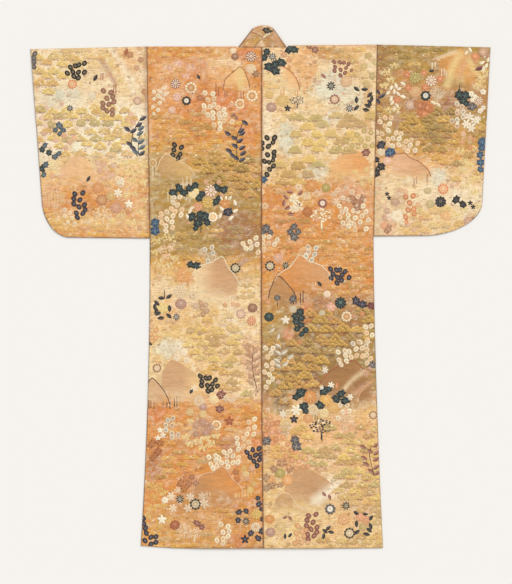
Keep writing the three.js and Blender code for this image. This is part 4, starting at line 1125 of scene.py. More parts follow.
def shell(name, low_plan, up_plan, low, up, joined, spread):
    """A length folded double, as one wall with rounded folds, open along its unsewn edges.

    spread is how many layers lie above each other in the bake map, and a layer's width and height.
    """
    (low_x, low_y), (up_x, up_y) = low_plan, up_plan
    form = FORMS[name]
    rows, columns = low_x.shape[0] - 1, low_x.shape[1] - 1
    loop = boundary(columns, rows)
    count = len(loop)
    flat = [(up_x[j, i], up_y[j, i]) for i, j, _ in loop]
    closed = [joined(edge, i, (flat[k][1] + flat[(k + 1) % count][1]) / 2)
              for k, (i, _, edge) in enumerate(loop)]
    out = []
    inward = np.zeros(low_x.shape + (2,))
    for k, (i, j, _) in enumerate(loop):
        total, sewn = np.zeros(2), np.zeros(2)
        for edge in ((k - 1) % count, k):
            (ax, ay), (bx, by) = flat[edge], flat[(edge + 1) % count]
            long = math.hypot(bx - ax, by - ay)
            normal = np.array([-(by - ay), bx - ax]) / long
            total += normal
            sewn += normal if closed[edge] else 0
        size = np.hypot(*sewn)
        inward[j, i] = sewn / size if size > 0 else 0
        out.append(-total / max(np.hypot(*total), 1e-6))

    build = Build()
    stack, *pitch = spread

    def sheet(x, y, z, distance, layer, flip):
        gx, gy = x + inward[..., 0] * distance, y + inward[..., 1] * distance
        start = build.add_points(np.stack([gx, gy, z], axis=-1).reshape(-1, 3))
        ids = start + np.arange(gx.size).reshape(gx.shape)
        colour = layer_colour(name, x, y).reshape(-1, 3)
        shift = np.array(divmod(layer, stack)) * (np.array(pitch) + MAP_GAP)
        place = np.stack([gx, gy], axis=-1).reshape(-1, 2) + shift
        quad = grid_faces(ids, flip)
        build.faces.extend(quad.tolist())
        build.places.extend(place[quad - start])
        build.colours.extend(colour[quad - start])
        return ids, shift

    z_under, z_top = form.under(low_x, low_y), form.over(up_x, up_y)
    under, at_under = sheet(low_x, low_y, z_under, ROUNDING, 0, True)
    floor, at_floor = sheet(low_x, low_y, low + CLOTH, CLOTH, 1, False)
    ceiling, at_ceiling = sheet(up_x, up_y, up, CLOTH, 2, True)
    top, at_top = sheet(up_x, up_y, z_top, ROUNDING, 3, False)
    points = build.points

    bulge = []
    for k, (i, j, _) in enumerate(loop):
        ids = []
        if closed[k] or closed[k - 1]:
            middle, half = (z_under[j, i] + z_top[j, i]) / 2, (z_top[j, i] - z_under[j, i]) / 2
            for step in range(1, FOLD_FACETS):
                turn = math.pi * (step / FOLD_FACETS - 0.5)
                inset = ROUNDING * (1 - math.cos(turn))
                x, y = up_x[j, i] + inward[j, i, 0] * inset, up_y[j, i] + inward[j, i, 1] * inset
                ids.append(build.add_points([(x, y, middle + half * math.sin(turn))]))
        bulge.append(ids)

    def strip(corners, owners, shift, key):
        """A face of an edge, laid flat in the map beside its layer."""
        build.faces.append(corners)
        place, colour = [], []
        for corner, owner in zip(corners, owners):
            x, y, z = points[corner]
            i, j, _ = loop[owner]
            rise = EDGE_TOP - z if key == "top" else z
            place.append((x + out[owner][0] * rise + shift[0], y + out[owner][1] * rise + shift[1]))
            colour.append(shaded_edge_colour[owner])
        build.places.append(place)
        build.colours.append(colour)

    loop_x, loop_y = np.array([p[0] for p in flat]), np.array([p[1] for p in flat])
    # painted shade on the edge faces, darker than the layer's own colour
    shaded_edge_colour = layer_colour(name, loop_x, loop_y) * EDGE_SHADE

    for k, (i, j, _) in enumerate(loop):
        n = (k + 1) % count
        p, q, _ = loop[n]
        if closed[k]:
            start = [under[j, i], *bulge[k], top[j, i]]
            end = [under[q, p], *bulge[n], top[q, p]]
            for s in range(FOLD_FACETS):
                strip([start[s], end[s], end[s + 1], start[s + 1]], (k, n, n, k), at_top, "top")
            strip([floor[j, i], ceiling[j, i], ceiling[q, p], floor[q, p]], (k, k, n, n), at_floor, "floor")
        else:
            strip([under[j, i], under[q, p], floor[q, p], floor[j, i]], (k, n, n, k), at_under, "under")
            strip([ceiling[j, i], ceiling[q, p], top[q, p], top[j, i]], (k, n, n, k), at_ceiling, "ceiling")
        if closed[k - 1] != closed[k]:
            ring = [floor[j, i], under[j, i], *bulge[k], top[j, i], ceiling[j, i]]
            if not closed[k]:
                ring.reverse()
            for s in range(1, len(ring) - 1):
                strip([ring[0], ring[s], ring[s + 1]], (k, k, k), at_ceiling + CAP_SHIFT, "ceiling")
    build.faces = [[int(v) for v in face] for face in build.faces]
    return build


BODY_CELL = 8.0  # between columns of points
SKIRT_ROWS, YOKE_ROWS = 116, 72  # below and above the sleeves' feet
SLEEVE_COLUMNS, CORNER_ROWS, SLEEVE_ROWS = 48, 16, 80
SLEEVE_ABOUT = 350  # a sleeve's rough width, for the columns near its seam
BODY_SPREAD = (1, 385, 1545)
SLEEVE_SPREAD = (2, 380, 600)


def body_shell(name):
    form = FORMS[name]
    side = form.side
    neck = (side["neck_half"] + 2) / side["shoulder_half"]
    inner = [d / side["shoulder_half"] for d in EDGE_STEPS]
    outer = [1 - d / side["shoulder_half"] for d in EDGE_STEPS[::-1]]
    even = np.arange(inner[-1] + 0.02, outer[0] - 0.01, BODY_CELL / side["shoulder_half"])
    columns = sorted([*inner, *outer, neck, neck - 2.2 / side["shoulder_half"]]
                     + [s for s in even if abs(s - neck) > 0.012])
    share = np.array(columns if form.sign > 0 else columns[::-1])
    drop = side["foot"] - HEM
    # rows of points, closer at the hem and at the shoulder
    skirt = np.concatenate([[0, 1.5, 4], np.linspace(9, drop, SKIRT_ROWS)]) / drop
    yoke = np.concatenate([np.linspace(0, 0.985, YOKE_ROWS)[1:], [0.993, 1]])
    grid_share = np.broadcast_to(share, (len(skirt) + len(yoke), len(share)))
    hem = HEM + side["hem_rise"] * hem_corner(share)
    shoulder = mix(side["shoulder_neck"], side["shoulder_seam"], share)
    back_top = np.where(share < neck - 1e-6, NECK_BACK, shoulder)
    x_guess = form.sign * mix(2, side["shoulder_half"], share)
    front_top = np.where(share < neck - 1e-6, neck_y(side, x_guess), shoulder)
    plans = []
    for top in (front_top, back_top):
        low = mix(hem[None, :], side["foot"], skirt[:, None])
        high = mix(side["foot"], top[None, :], yoke[:, None])
        y = np.concatenate([low, high])
        a, b = form.edges(y)
        plans.append((mix(a, b, grid_share), y))
    low = form.under(*plans[0]) - UNDER_RISE
    up = LAYER * (1 + lapped(grid_share)) + np.clip(lift(*plans[1]), 0, None)
    neck_column = int(np.argmin(np.abs(share - neck)))
    outer_edge = "east" if form.sign > 0 else "west"

    def joined(edge, column, y):
        if edge == "head":  # the loop runs from the east to the west along the head
            return column > neck_column if form.sign > 0 else column <= neck_column
        return edge == outer_edge and y < side["foot"]

    return shell(name, plans[0], plans[1], low, up, joined, BODY_SPREAD)


def sleeve_shell(name):
    form = FORMS[name]
    side = form.side
    edge = [d / SLEEVE_ABOUT for d in EDGE_STEPS]
    columns = np.array([*edge, *np.linspace(0.045, 0.97, SLEEVE_COLUMNS), 0.985, 0.995, 1.0])
    share = columns if form.sign > 0 else columns[::-1]
    turn = np.radians(90 * np.concatenate([np.linspace(0, 1, CORNER_ROWS + 1), np.ones(SLEEVE_ROWS)]))
    above = np.concatenate([np.zeros(CORNER_ROWS), np.linspace(0, 1, SLEEVE_ROWS + 1)])
    foot = mix(side["sleeve_foot_seam"], side["sleeve_foot_end"], share)[None, :]
    head = mix(side["shoulder_seam"], side["cuff_top"], share)[None, :]
    y = mix(foot + side["corner_up"] * (1 - np.cos(turn))[:, None], head, above[:, None])
    draw = side["slant"] * (side["cuff_top"] - y) + side["corner_across"] * (1 - np.sin(turn))[:, None]
    seam = side_half(side, y) + SEAM
    x = form.sign * mix(seam, SLEEVE_REACH - draw, share[None, :])
    up = LAYER + np.clip(lift(x, y), 0, None)
    outer_edge = "east" if form.sign > 0 else "west"

    def joined(edge, column, height):
        return edge in ("head", "foot") or (edge == outer_edge and height < side["cuff_top"] - CUFF_LENGTH)

    return shell(name, (x, y), (x, y), np.zeros(x.shape), up, joined, SLEEVE_SPREAD)


RIM_PITCH = 3.0  # a face of a band's rim in the bake map
ROUND_OFF = 0.45  # how much thinner a band gets at its edges


def band(name, stations, across):
    """A single layer from stations, each a line across the cloth with its normal."""
    build = Build()
    share = np.array([0, 0.02, *np.linspace(0.06, 0.94, across - 3), 0.98, 1])
    dip = ROUND_OFF * fade(np.minimum(share, 1 - share), 0.04)
    start, end = np.array([s[0] for s in stations]), np.array([s[1] for s in stations])
    normal = np.array([s[2] for s in stations])
    line = mix(start[:, None, :], end[:, None, :], share[None, :, None])
    steps = np.hypot(*np.diff((start + end) / 2, axis=0)[:, :2].T)
    steps = np.maximum(steps, np.abs(np.diff(normal, axis=0)).sum(axis=1))
    travel = np.concatenate([[0], np.cumsum(steps)])
    width = np.hypot(*(end - start)[:, :2].T)
    ids = []
    for face, sign in ((0, 1), (1, -1)):
        at = line + sign * (CLOTH / 2 - dip)[None, :, None] * normal[:, None, :]
        first = build.add_points(at.reshape(-1, 3))
        grid = first + np.arange(at.shape[0] * at.shape[1]).reshape(at.shape[:2])
        ids.append(grid)
        quad = grid_faces(grid, sign < 0)
        colour = layer_colour(name, at[..., 0], at[..., 1]).reshape(-1, 3)
        place = np.stack([share[None, :] * width[:, None] + face * (width.max() + MAP_GAP),
                          np.broadcast_to(travel[:, None], at.shape[:2])], axis=-1).reshape(-1, 2)
        build.faces.extend(quad.tolist())
        build.places.extend(place[quad - first])
        build.colours.extend(colour[quad - first])
    front, rear = ids
    rim = [front[k, 0] for k in range(len(stations))] + list(front[-1, 1:])
    rim += [front[k, -1] for k in range(len(stations) - 2, -1, -1)] + list(front[0, -2:0:-1])
    offset = rear[0, 0] - front[0, 0]
    # painted shade: the band's rim faces are darker than its faces
    base = layer_colour(name, line[..., 0], line[..., 1]).reshape(-1, 3) * 0.7
    lane = 2 * (width.max() + MAP_GAP)
    for k, a in enumerate(rim):
        b = rim[(k + 1) % len(rim)]
        build.faces.append([int(a), int(b), int(b + offset), int(a + offset)])
        low, high = k * RIM_PITCH, (k + 1) * RIM_PITCH
        build.places.append([(lane, low), (lane, high), (lane + 2, high), (lane + 2, low)])
        here, there = base[a - front[0, 0]], base[b - front[0, 0]]
        build.colours.append([here, there, there, here])
    return build


OVERLAP_STATIONS, OVERLAP_COLUMNS = 164, 22


def overlap_shell(name):
    form = FORMS[name]
    middle = form.height + (CLOTH + UNDER_RISE) / 2
    stations = []
    for share in np.linspace(0, 1, OVERLAP_STATIONS):

        def end(x):
            return mix(HEM, neck_y(form.side, x), share)

        far = -form.sign * OVERLAP_EDGE
        near = float(middle_x(end(0)) - form.sign * SEAM / 2)
        ends = [(near, end(near), middle), (far, end(far), middle)]
        if form.sign > 0:
            ends.reverse()
        stations.append((*ends, (0, 0, 1)))
    return band(name, stations, OVERLAP_COLUMNS)


COLLAR_GAP, COLLAR_COLUMNS = 9, 12
ARM_HEIGHTS = (300, 380, 460, 540, 610, 665)  # where the collar's front arms have stations
TURN_FACETS = 8  # where the collar turns over
NAPE_FACETS = 24  # behind the neck


def collar_stations():
    """Up the left front, over behind the neck and down the right front."""
    run = math.hypot(NECK_SLOPE, 1)

    def arm(side, height):
        outward = (-side["sign"] / run, NECK_SLOPE / run)
        z = height + (CLOTH + UNDER_RISE) / 2
        far = -side["sign"] * OVERLAP_EDGE
        base = neck_y(side, far)
        foot = (far, base + SEAM / NECK_SLOPE, z)
        line = [(foot, (far, base + COLLAR_WIDTH * run / NECK_SLOPE, z), (0, 0, 1))]
        for y in ARM_HEIGHTS:
            x = side["sign"] * (side["neck_half"] - NECK_SLOPE * (NECK_BACK - y))
            seam = (x + outward[0] * SEAM, y + outward[1] * SEAM)
            head = (seam[0] + outward[0] * COLLAR_WIDTH, seam[1] + outward[1] * COLLAR_WIDTH, z)
            line.append(((*seam, z), head, (0, 0, 1)))
        return line

    def turn_over(fold, sign, low, high):
        radius = (high - low) / 2
        dx, dy = fold["head"][0] - fold["foot"][0], fold["head"][1] - fold["foot"][1]
        length = math.hypot(dx, dy)
        out = (sign * dy / length, -sign * dx / length)
        line = []
        for k in range(TURN_FACETS + 1):
            angle = math.pi * k / TURN_FACETS
            shift, z = radius * math.sin(angle), low + CLOTH / 2 + radius * (1 - math.cos(angle))
            foot, head = [(x + out[0] * shift, y + out[1] * shift, z)
                          for x, y in (fold["foot"], fold["head"])]
            normal = (-out[0] * math.sin(angle), -out[1] * math.sin(angle), math.cos(angle))
            line.append((foot, head, normal))
        return line

    left, right = COLLAR_FOLDS["left"], COLLAR_FOLDS["right"]
    back = []
    for k in range(1, NAPE_FACETS):
        share = k / NAPE_FACETS
        crown = math.sin(math.pi * share) ** 0.7
        head = [mix(a, b, share) for a, b in zip(left["head"], right["head"])]
        rise = (COLLAR_TOP - (left["head"][1] + right["head"][1]) / 2) * crown
        z = 2 * LAYER + CLOTH / 2
        foot = (mix(left["foot"][0], right["foot"][0], share), NECK_BACK + SEAM, z)
        back.append((foot, (head[0], min(head[1] + rise, COLLAR_TOP), z), (0, 0, -1)))
    return (arm(SIDES["left"], 0) + turn_over(left, -1, 0, 2 * LAYER) + back
            + turn_over(right, 1, LAYER, 2 * LAYER)[::-1] + arm(SIDES["right"], LAYER)[::-1])


def denser(stations, gap):
    """More stations between those that lie further apart than the gap."""
    line = [stations[0]]
    for before, after in zip(stations, stations[1:]):
        apart = math.dist(before[0][:2], after[0][:2])
        for k in range(1, max(1, int(apart / gap)) + 1):
            share = k / max(1, int(apart / gap))
            line.append(tuple(tuple(mix(a, b, share) for a, b in zip(p, q)) for p, q in zip(before, after)))
    return line


def collar_band(name):
    return band(name, denser(collar_stations(), COLLAR_GAP), COLLAR_COLUMNS)


# ---- Floating threads ----
RNG = np.random.default_rng(20)
SUNK = -0.12  # a patch's rim lies this far under the ground's surface
FLOAT_MARGIN = 1.2  # floats end this far from a piece's edges
FLOAT_SPAN = 1640  # what the bake map of a piece's floats takes in, and the place of its other side
FLIP_TOP = 0.6  # how high a patch rises, which is squeezed into the room on the side that lies down
SLIVER = 0.04  # faces with less than half this area are left out, in square millimetres
TREE_TUFTS = 40
SPIRAL = 2.4  # the turn, in radians, from one blossom of a tree or a spray to the next
PINE_FOOT = 0.36  # where a pine's lowest tufts stand, as a share of its height below its middle
HILL_ROWS = 22  # rows of faces in a hill's fill
DARK = 0.2  # a dye whose mean light is below this is a dark one


class Floats(Build):
    """Patches of floating threads on one side of a piece, charted in steps and domed."""

    def __init__(self, name, flip):
        super().__init__()
        self.name, self.form, self.flip = name, FORMS[name], flip
        self.spots, self.rises, self.rims, self.dyes = [], [], [], []
        self.hill_boxes = []

    def patch(self, centre, outline, rings, rim=0.3, high=0.6, heart=(0, 0)):
        """rings are (share of the outline, dyes of the threads inside it), from the rim inwards."""
        centre, outline = np.asarray(centre, float), np.asarray(outline, float)
        if self.flip:  # plainer threads on the side that lies down
            rim, rings = 0, [rings[0], rings[len(rings) // 2]] if len(rings) > 1 else rings
            outline = outline[::2] if len(outline) > 12 else outline
        count = len(outline)
        if rim > 0 and (len(rings) == 1 or rings[1][0] < 0.8):
            rings = [rings[0], (0.92, rings[0][1]), *rings[1:]]
        start = len(self.spots)
        tone = 1 + RNG.uniform(-0.08, 0.08)
        for share, _ in rings:
            rise = SUNK if share == 1 else mix(rim, high, math.sqrt(1 - share ** 2))
            self.spots.extend(centre + outline * share + np.multiply(heart, 1 - share))
            self.rises.extend([rise] * count)
        self.spots.append(centre + heart)
        self.rises.append(high)
        last = start + len(rings) * count
        for level, (_, dye) in enumerate(rings):
            dyes = dye if isinstance(dye, list) else [dye]
            a = start + level * count
            for k in range(count):
                m = (k + 1) % count
                inner = [last, last] if level == len(rings) - 1 else [a + count + k, a + count + m]
                self.rims.append([a + m, a + k, *inner])
                self.dyes.append(dyes[k % len(dyes)] * tone)

    def settle(self):
        """Lays every patch on the piece, cut off at its edges."""
        spots, rims = np.array(self.spots), np.array(self.rims)
        x, y = self.form.keep(*from_chart(spots[:, 0], spots[:, 1]), FLOAT_MARGIN)
        rises = np.array(self.rises)
        if self.flip:
            room = UNDER_RISE - 0.05
            z = np.maximum(self.form.under(x, y) - np.clip(rises * room / FLIP_TOP, SUNK, room), 0.05)
        else:
            z = self.form.over(x, y) + rises
        self.points = np.stack([x, y, z], axis=-1)
        across, along = x[rims], y[rims]
        after, beyond = np.roll(across, -1, axis=1), np.roll(along, -1, axis=1)
        twice = np.sum(across * beyond - after * along, axis=1)
        dyes = np.array([dye if np.ndim(dye) == 2 else np.tile(dye, (4, 1)) for dye in self.dyes])
        lane = FLOAT_SPAN if self.flip else 0
        for k in np.flatnonzero(np.abs(twice) > SLIVER):
            corners = 3 if rims[k][2] == rims[k][3] else 4
            chosen = slice(corners - 1, None, -1) if self.flip else slice(None, corners)
            self.faces.append(rims[k][chosen])
            self.places.append(np.stack([across[k] + lane, along[k]], axis=-1)[chosen])
            self.colours.append(np.clip(dyes[k], 0, 1)[chosen])

    def local(self, c, r):
        """The ground's colour at a place in the chart."""
        return ground(self.name, *from_chart(np.array([c]), np.array([r])))[0]

    def pair(self, dye, c, r):
        """The outer and the inner threads, for a soft dye mixed with the ground's own threads."""
        outer, inner = DYE[dye.removeprefix("soft ")]
        if dye.startswith("soft "):
            local = self.local(c, r)
            outer, inner = mix(local, outer, 0.55), mix(local, inner, 0.6)
        return outer, inner

    # Outlines, in steps, with the row counted downwards
    @staticmethod
    def turned(points, degrees):
        angle = math.radians(degrees)
        spin = np.array([[math.cos(angle), math.sin(angle)], [-math.sin(angle), math.cos(angle)]])
        return np.asarray(points) @ spin

    @staticmethod
    def oval(wide, tall, count=12):
        angle = np.linspace(0, 2 * math.pi, count, endpoint=False)
        return np.stack([wide * np.cos(angle), tall * np.sin(angle)], axis=-1)

    @staticmethod
    def lobed(radius, lobes, depth, per_lobe=4, sharp=1.0):
        angle = np.linspace(0, 2 * math.pi, lobes * per_lobe, endpoint=False)
        wave = np.abs(np.cos(angle * lobes / 2)) ** sharp
        size = radius * (1 - depth + depth * wave)
        return np.stack([size * np.sin(angle), -size * np.cos(angle)], axis=-1)

    @staticmethod
    def edge_of(dye):
        """The darker thread that outlines a motif."""
        return mix(dye, HUE["brown"] * 0.8, 0.5) if dye.mean() > DARK else dye * 0.6

    def halo(self, c, r, outline, share=0.5):
        """Pale threads round a dark motif."""
        if not self.flip:
            self.patch((c, r), outline, [(1, mix(self.local(c, r), HUE["pale"], share))], 0, 0.28)

    # Motifs, which the chart names. Each takes its place, size and turn, and the outer and inner threads.
    def leaf(self, c, r, size, turn, outer, inner):
        if outer.mean() > 0.5:
            outer = mix(outer, HUE["peach"], RNG.choice([0, 0.1, 0.3, 0.55]))
        outline = self.turned(self.oval(size * 0.86, size * 1.06), turn)
        pale = outer.mean() > DARK
        heart = mix(outer, inner, 0.8 if pale else 0.35)
        if not pale:
            self.halo(c, r, outline * 1.3)
        rings = [(1, self.edge_of(outer)), (0.88, outer), (0.45, heart), (0.2, outer if pale else heart)]
        self.patch((c, r), outline, rings)

    BLADE = np.array([
        (0, -1.25), (0.42, -0.66), (0.6, 0), (0.42, 0.66), (0, 1.15), (-0.42, 0.66), (-0.6, 0),
        (-0.42, -0.66)])

    def blade(self, c, r, size, turn, outer, inner):
        outline = self.turned(self.BLADE * size, turn)
        halves = [outer] * 4 + [mix(outer, inner, 0.45)] * 4
        self.patch((c, r), outline, [(1, halves), (0.3, halves)])

    def disc(self, c, r, size, turn, outer, inner):
        pale, edge = mix(outer, inner, 0.45), mix(outer, self.edge_of(outer), 0.45)
        rings = [(1, edge), (0.9, [outer, pale, outer, mix(outer, edge, 0.35)]), (0.5, [outer, pale]),
                 (0.26, mix(outer, inner, 0.6))]
        self.patch((c, r), self.lobed(size, 9, 0.07, 4) * (1.04, 0.96), rings, heart=(0, -0.25 * size))

    def mum(self, c, r, size, turn, outer, inner):
        petals = self.lobed(size, 10, 0.16, 4, 0.7)
        pale, deep = mix(outer, inner, 0.75), mix(outer, self.edge_of(outer), 0.6)
        row = [mix(pale, inner, 0.7), mix(outer, deep, 0.5), mix(outer, deep, 0.3), pale]
        if outer.mean() < DARK:
            row = [outer, outer, pale, outer]
        rings = [(1, deep), (0.84, row), (0.36, deep), (0.26, inner), (0.1, outer)]
        self.patch((c, r), petals, rings, heart=(0, -0.14 * size))

    def ring(self, c, r, size, turn, outer, inner):
        beads = self.lobed(size, 10, 0.1, 4, 1)
        gap = mix(outer, inner, 0.5)
        middle = mix(inner, HUE["orange"], 0.3)
        if outer.mean() < DARK:
            middle = mix(inner, HUE["cream"], 0.6)
        self.patch((c, r), beads, [
            (1, [outer, gap, gap, outer]), (0.64, middle), (0.44, [middle, mix(middle, outer, 0.3)]),
            (0.2, mix(middle, HUE["pale"], 0.4))])

    def eye(self, c, r, size, turn, outer, inner):
        petals = self.lobed(size, 9, 0.2, 4, 0.8)
        heart = mix(DYE["white"][0], inner, 0.2)
        light = mix(outer, inner, 0.35)
        self.patch((c, r), petals, [
            (1, outer), (0.84, [outer, light, outer, outer]), (0.5, heart), (0.24, mix(heart, outer, 0.3))],
            heart=(0, -0.1 * size))

    def daisy(self, c, r, size, turn, outer, inner):
        petals = self.lobed(size, 9, 0.5, 4, 0.8)
        light = mix(outer, inner, 0.4)
        self.halo(c, r, self.oval(size * 1.12, size * 1.12), 0.6)
        self.patch((c, r), petals, [
            (1, [outer, light, light, outer]), (0.4, mix(inner, HUE["pale"], 0.5)), (0.2, outer)])

    def flower(self, c, r, size, turn, outer, inner):
        petals = self.turned(self.lobed(size, 5, 0.34, 5, 0.8), turn or RNG.uniform(0, 72))
        deep = mix(outer, self.edge_of(outer), 0.5)
        row = [outer, outer, mix(outer, deep, 0.5), outer, mix(outer, inner, 0.5)]
        self.patch((c, r), petals, [(1, deep), (0.86, row), (0.32, mix(deep, inner, 0.4)), (0.16, inner)])

    def star(self, c, r, size, turn, outer, inner):
        points = self.turned(self.lobed(size * 1.1, 5, 0.55, 4, 1.4), turn)
        self.patch((c, r), points, [(1, outer), (0.28, mix(outer, inner, 0.5))])

    def lily(self, c, r, size, turn, outer, inner):
        points = self.turned(self.lobed(size * 1.1, 6, 0.6, 4, 1.2), 15 + (turn or RNG.uniform(-20, 20)))
        deep = mix(outer, self.edge_of(outer), 0.5)
        self.patch((c, r), points, [
            (1, [outer, outer, deep, outer]), (0.5, mix(outer, inner, 0.3)), (0.3, mix(inner, deep, 0.4)),
            (0.15, outer)])

    MAPLE = np.array([
        (0, -1.02), (0.42, -0.74), (0.86, -0.74), (0.8, -0.1), (1.04, 0.36), (0.5, 0.56), (0.12, 0.98),
        (-0.46, 0.6), (-1.0, 0.42), (-0.8, -0.1), (-0.9, -0.66), (-0.38, -0.7)])

    def maple(self, c, r, size, turn, outer, inner):
        """A lobed leaf, uneven, with a pale gap round it where it is dark."""
        shape = self.MAPLE * size * (1.08 * RNG.uniform(0.9, 1.14), 1.08 * RNG.uniform(0.82, 1.0))
        points = self.turned(shape * RNG.uniform(0.88, 1.1, (12, 1)), turn or RNG.uniform(-60, 60))
        light, deep = mix(outer, inner, 0.55), outer * 0.65
        if outer.mean() < DARK:
            self.halo(c, r, points * 1.2, 0.4)
        self.patch((c, r), points, [
            (1, outer), (0.84, [outer, deep, mix(outer, light, 0.4)]), (0.52, [light, deep, outer]),
            (0.2, light)])

    def bar(self, c, r, size, turn, outer, inner):
        rows = np.linspace(-size / 2, size / 2, 5)
        outline = [(0.42, v) for v in rows] + [(-0.42, v) for v in rows[::-1]]
        self.patch((c, r), outline, [(1, outer), (0.5, mix(outer, inner, 0.2))], 0.2, 0.4)

    def tree(self, c, r, size, turn, outer, inner):
        """A blossoming tree: a thin trunk under many small tufts."""
        trunk = [(0.5, -size * 0.5), (0.6, size * 0.35), (-0.6, size * 0.35), (-0.4, -size * 0.5)]
        self.patch((c + 0.2, r + size * 0.9), trunk, [(1, outer)])
        light = DYE["cream"][0] if outer.mean() < DARK else mix(outer, inner, 0.6)
        tints = [outer, inner, outer, mix(outer, inner, 0.5), light, outer]
        for k in range(TREE_TUFTS):
            angle, away = SPIRAL * k, size * math.sqrt((k + 0.5) / TREE_TUFTS)
            at = (c + 1.12 * away * math.cos(angle), r - size * 0.1 + 0.7 * away * math.sin(angle))
            tuft = self.lobed(size * RNG.uniform(0.12, 0.18), 4, 0.45, 3, 1)
            tuft = self.turned(tuft, RNG.uniform(0, 90)) * (1.2, 0.9)
            self.patch(at, tuft, [(1, tints[k % len(tints)])], 0, 0.5)

    def spray(self, c, r, size, turn, outer, inner):
        """Small blossoms close together."""
        count = int(1.9 * size)
        deep = mix(outer, HUE["rust"], 0.5)
        for k in range(count):
            angle, away = SPIRAL * k + size, size * math.sqrt((k + 0.5) / count)
            at = (c + away * math.cos(angle), r + 0.8 * away * math.sin(angle))
            blossom = self.turned(self.lobed(RNG.uniform(1.3, 1.9), 4, 0.42, 3, 1), RNG.uniform(0, 90))
            self.patch(at, blossom * 1.25, [(1, mix(deep, outer, 0.35))], 0, 0.2)
            self.patch(at, blossom, [(1, mix(outer, inner, RNG.uniform(0, 0.9))), (0.34, deep)], 0, 0.5)

    def tuft(self, c, r, wide, tall, hue, light, dark, height):
        """A low tuft of needles: a dome with an uneven top over a flat foot."""
        angle = np.radians(np.linspace(-94, 94, 9))
        uneven = RNG.uniform(0.86, 1.08, len(angle))
        dome = np.stack([wide * np.sin(angle) * uneven, -tall * np.cos(angle) * uneven], axis=-1)
        outline = np.concatenate([dome, [(0.45 * wide, 0.24 * tall), (-0.45 * wide, 0.24 * tall)]])
        half, dim = mix(hue, light, 0.5), mix(hue, dark, 0.3)
        top = [dark, hue, light, half, light, dim, light, hue, dark, dark, dark]
        inside = [mix(tint, dark, 0.45) for tint in top]
        self.patch((c, r), outline, [(1, top), (0.6, inside)], 0, height + 0.26, heart=(0, 0.05 * tall))

    def pine(self, c, r, look, hue, under, halo):
        """A pine: tufts heaped over a flat foot, with shade and short trunks under them."""
        wide, tall, trunks, lower = PINE_LOOKS[look][:4]
        wide, tall = wide * RNG.uniform(0.84, 1.14), tall * RNG.uniform(0.86, 1.12)
        light, dark = mix(hue, HUE["straw"], 0.5), mix(hue, under, 0.66)
        lean = RNG.uniform(-0.16, 0.16) * wide
        if not self.flip:
            glow = self.lobed(1, 7, 0.2, 2) * (1.06 * wide, 0.86 * tall)
            self.patch((c, r), glow, [(1, halo)], 0, 0.1)
            shade = self.lobed(1, 6, 0.3, 2) * (0.92 * wide, 0.3 * tall)
            self.patch((c, r + 0.52 * tall), shade, [(1, under)], 0, 0.16)
        # tufts in a row, how far down it stands and how high it rises, from the foot upwards
        rows = [(lower, PINE_FOOT, 0.24), (lower - 1, 0.0, 0.14), (max(lower - 2, 1), -0.34, 0.04)]
        for count, down, height in rows[1::-1] if look == "flat" or self.flip else rows[::-1]:
            up = PINE_FOOT - down
            reach = wide * (0.62 - 0.5 * up)
            for k in range(count):
                share = 2 * k / (count - 1) - 1 if count > 1 else 0
                at = (c + share * reach + up * lean + RNG.uniform(-0.5, 0.5),
                      r + down * tall + RNG.uniform(-0.4, 0.4))
                own = hue * RNG.uniform(0.88, 1.1)
                tuft_wide = wide * RNG.uniform(0.34, 0.46)
                self.tuft(*at, tuft_wide, tall * 0.62, own, mix(own, light, 0.8), dark, height)
        for k in range(0 if self.flip else trunks):
            side = (k - (trunks - 1) / 2) * wide * 0.5
            at = (c + side + RNG.uniform(-0.9, 0.9), r + RNG.uniform(0.56, 0.8) * tall)
            stroke = self.oval(0.5, 0.16 * tall, 6) if k % 2 else self.oval(0.22 * wide, 0.55, 6)
            self.patch(at, stroke, [(1, mix(under, HUE["rust"] * 0.8, 0.4))], 0, 0.36)

    @staticmethod
    def subdivided(points, gap, least):
        """The points with more between them, about a gap apart."""
        points, dense = np.asarray(points, float), []
        for a, b in zip(points, points[1:]):
            steps = max(least, int(math.dist(a, b) / gap))
            dense.extend(mix(a, b, k / steps) for k in range(steps))
        return np.array(dense + [points[-1]])

    def line(self, points, width, colour):
        """A narrow ribbon of threads along a line."""
        dense = self.subdivided(points, 1.8, 2)
        dense[1:-1] = (dense[:-2] + 2 * dense[1:-1] + dense[2:]) / 4
        for a, b in zip(dense, dense[1:]):
            run = b - a
            long = max(np.hypot(*run), 1e-6)
            side = np.array([-run[1], run[0]]) / long * width / 2
            over = run / long * 0.35
            middle = (a + b) / 2
            outline = np.array([a - over + side, b + over + side, b + over - side, a - over - side])
            self.patch(middle, outline - middle, [(1, colour)], 0.42, 0.56)

    def hill(self, fills, edge, strength, base, crest):
        """A hill: a smooth fill that fades into the ground, under an outlined crest."""
        crest = np.array(numbers(crest))
        dense = self.subdivided(crest, 2.2, 1)
        fills = np.array([HUE[hue] for hue in fills.split()])
        columns, start = len(dense), len(self.spots)
        across = (dense[:, 0] - dense[0, 0]) / (dense[-1, 0] - dense[0, 0]) * (len(fills) - 1)
        fill = np.stack([np.interp(across, range(len(fills)), fills[:, k]) for k in range(3)], axis=-1)
        ends = np.minimum(1, 3 * np.minimum(np.linspace(0, 1, columns), np.linspace(1, 0, columns)))
        tints = []
        for s in range(HILL_ROWS + 1):
            down = s / HILL_ROWS
            row = mix(dense[:, 1], np.maximum(base, dense[:, 1] + 0.5), down)
            self.spots.extend(np.stack([dense[:, 0], row], axis=-1))
            inner_row = 0 < s < HILL_ROWS
            self.rises.extend(mix(SUNK, 0.36, ends) if inner_row else np.full(columns, SUNK if s else 0.1))
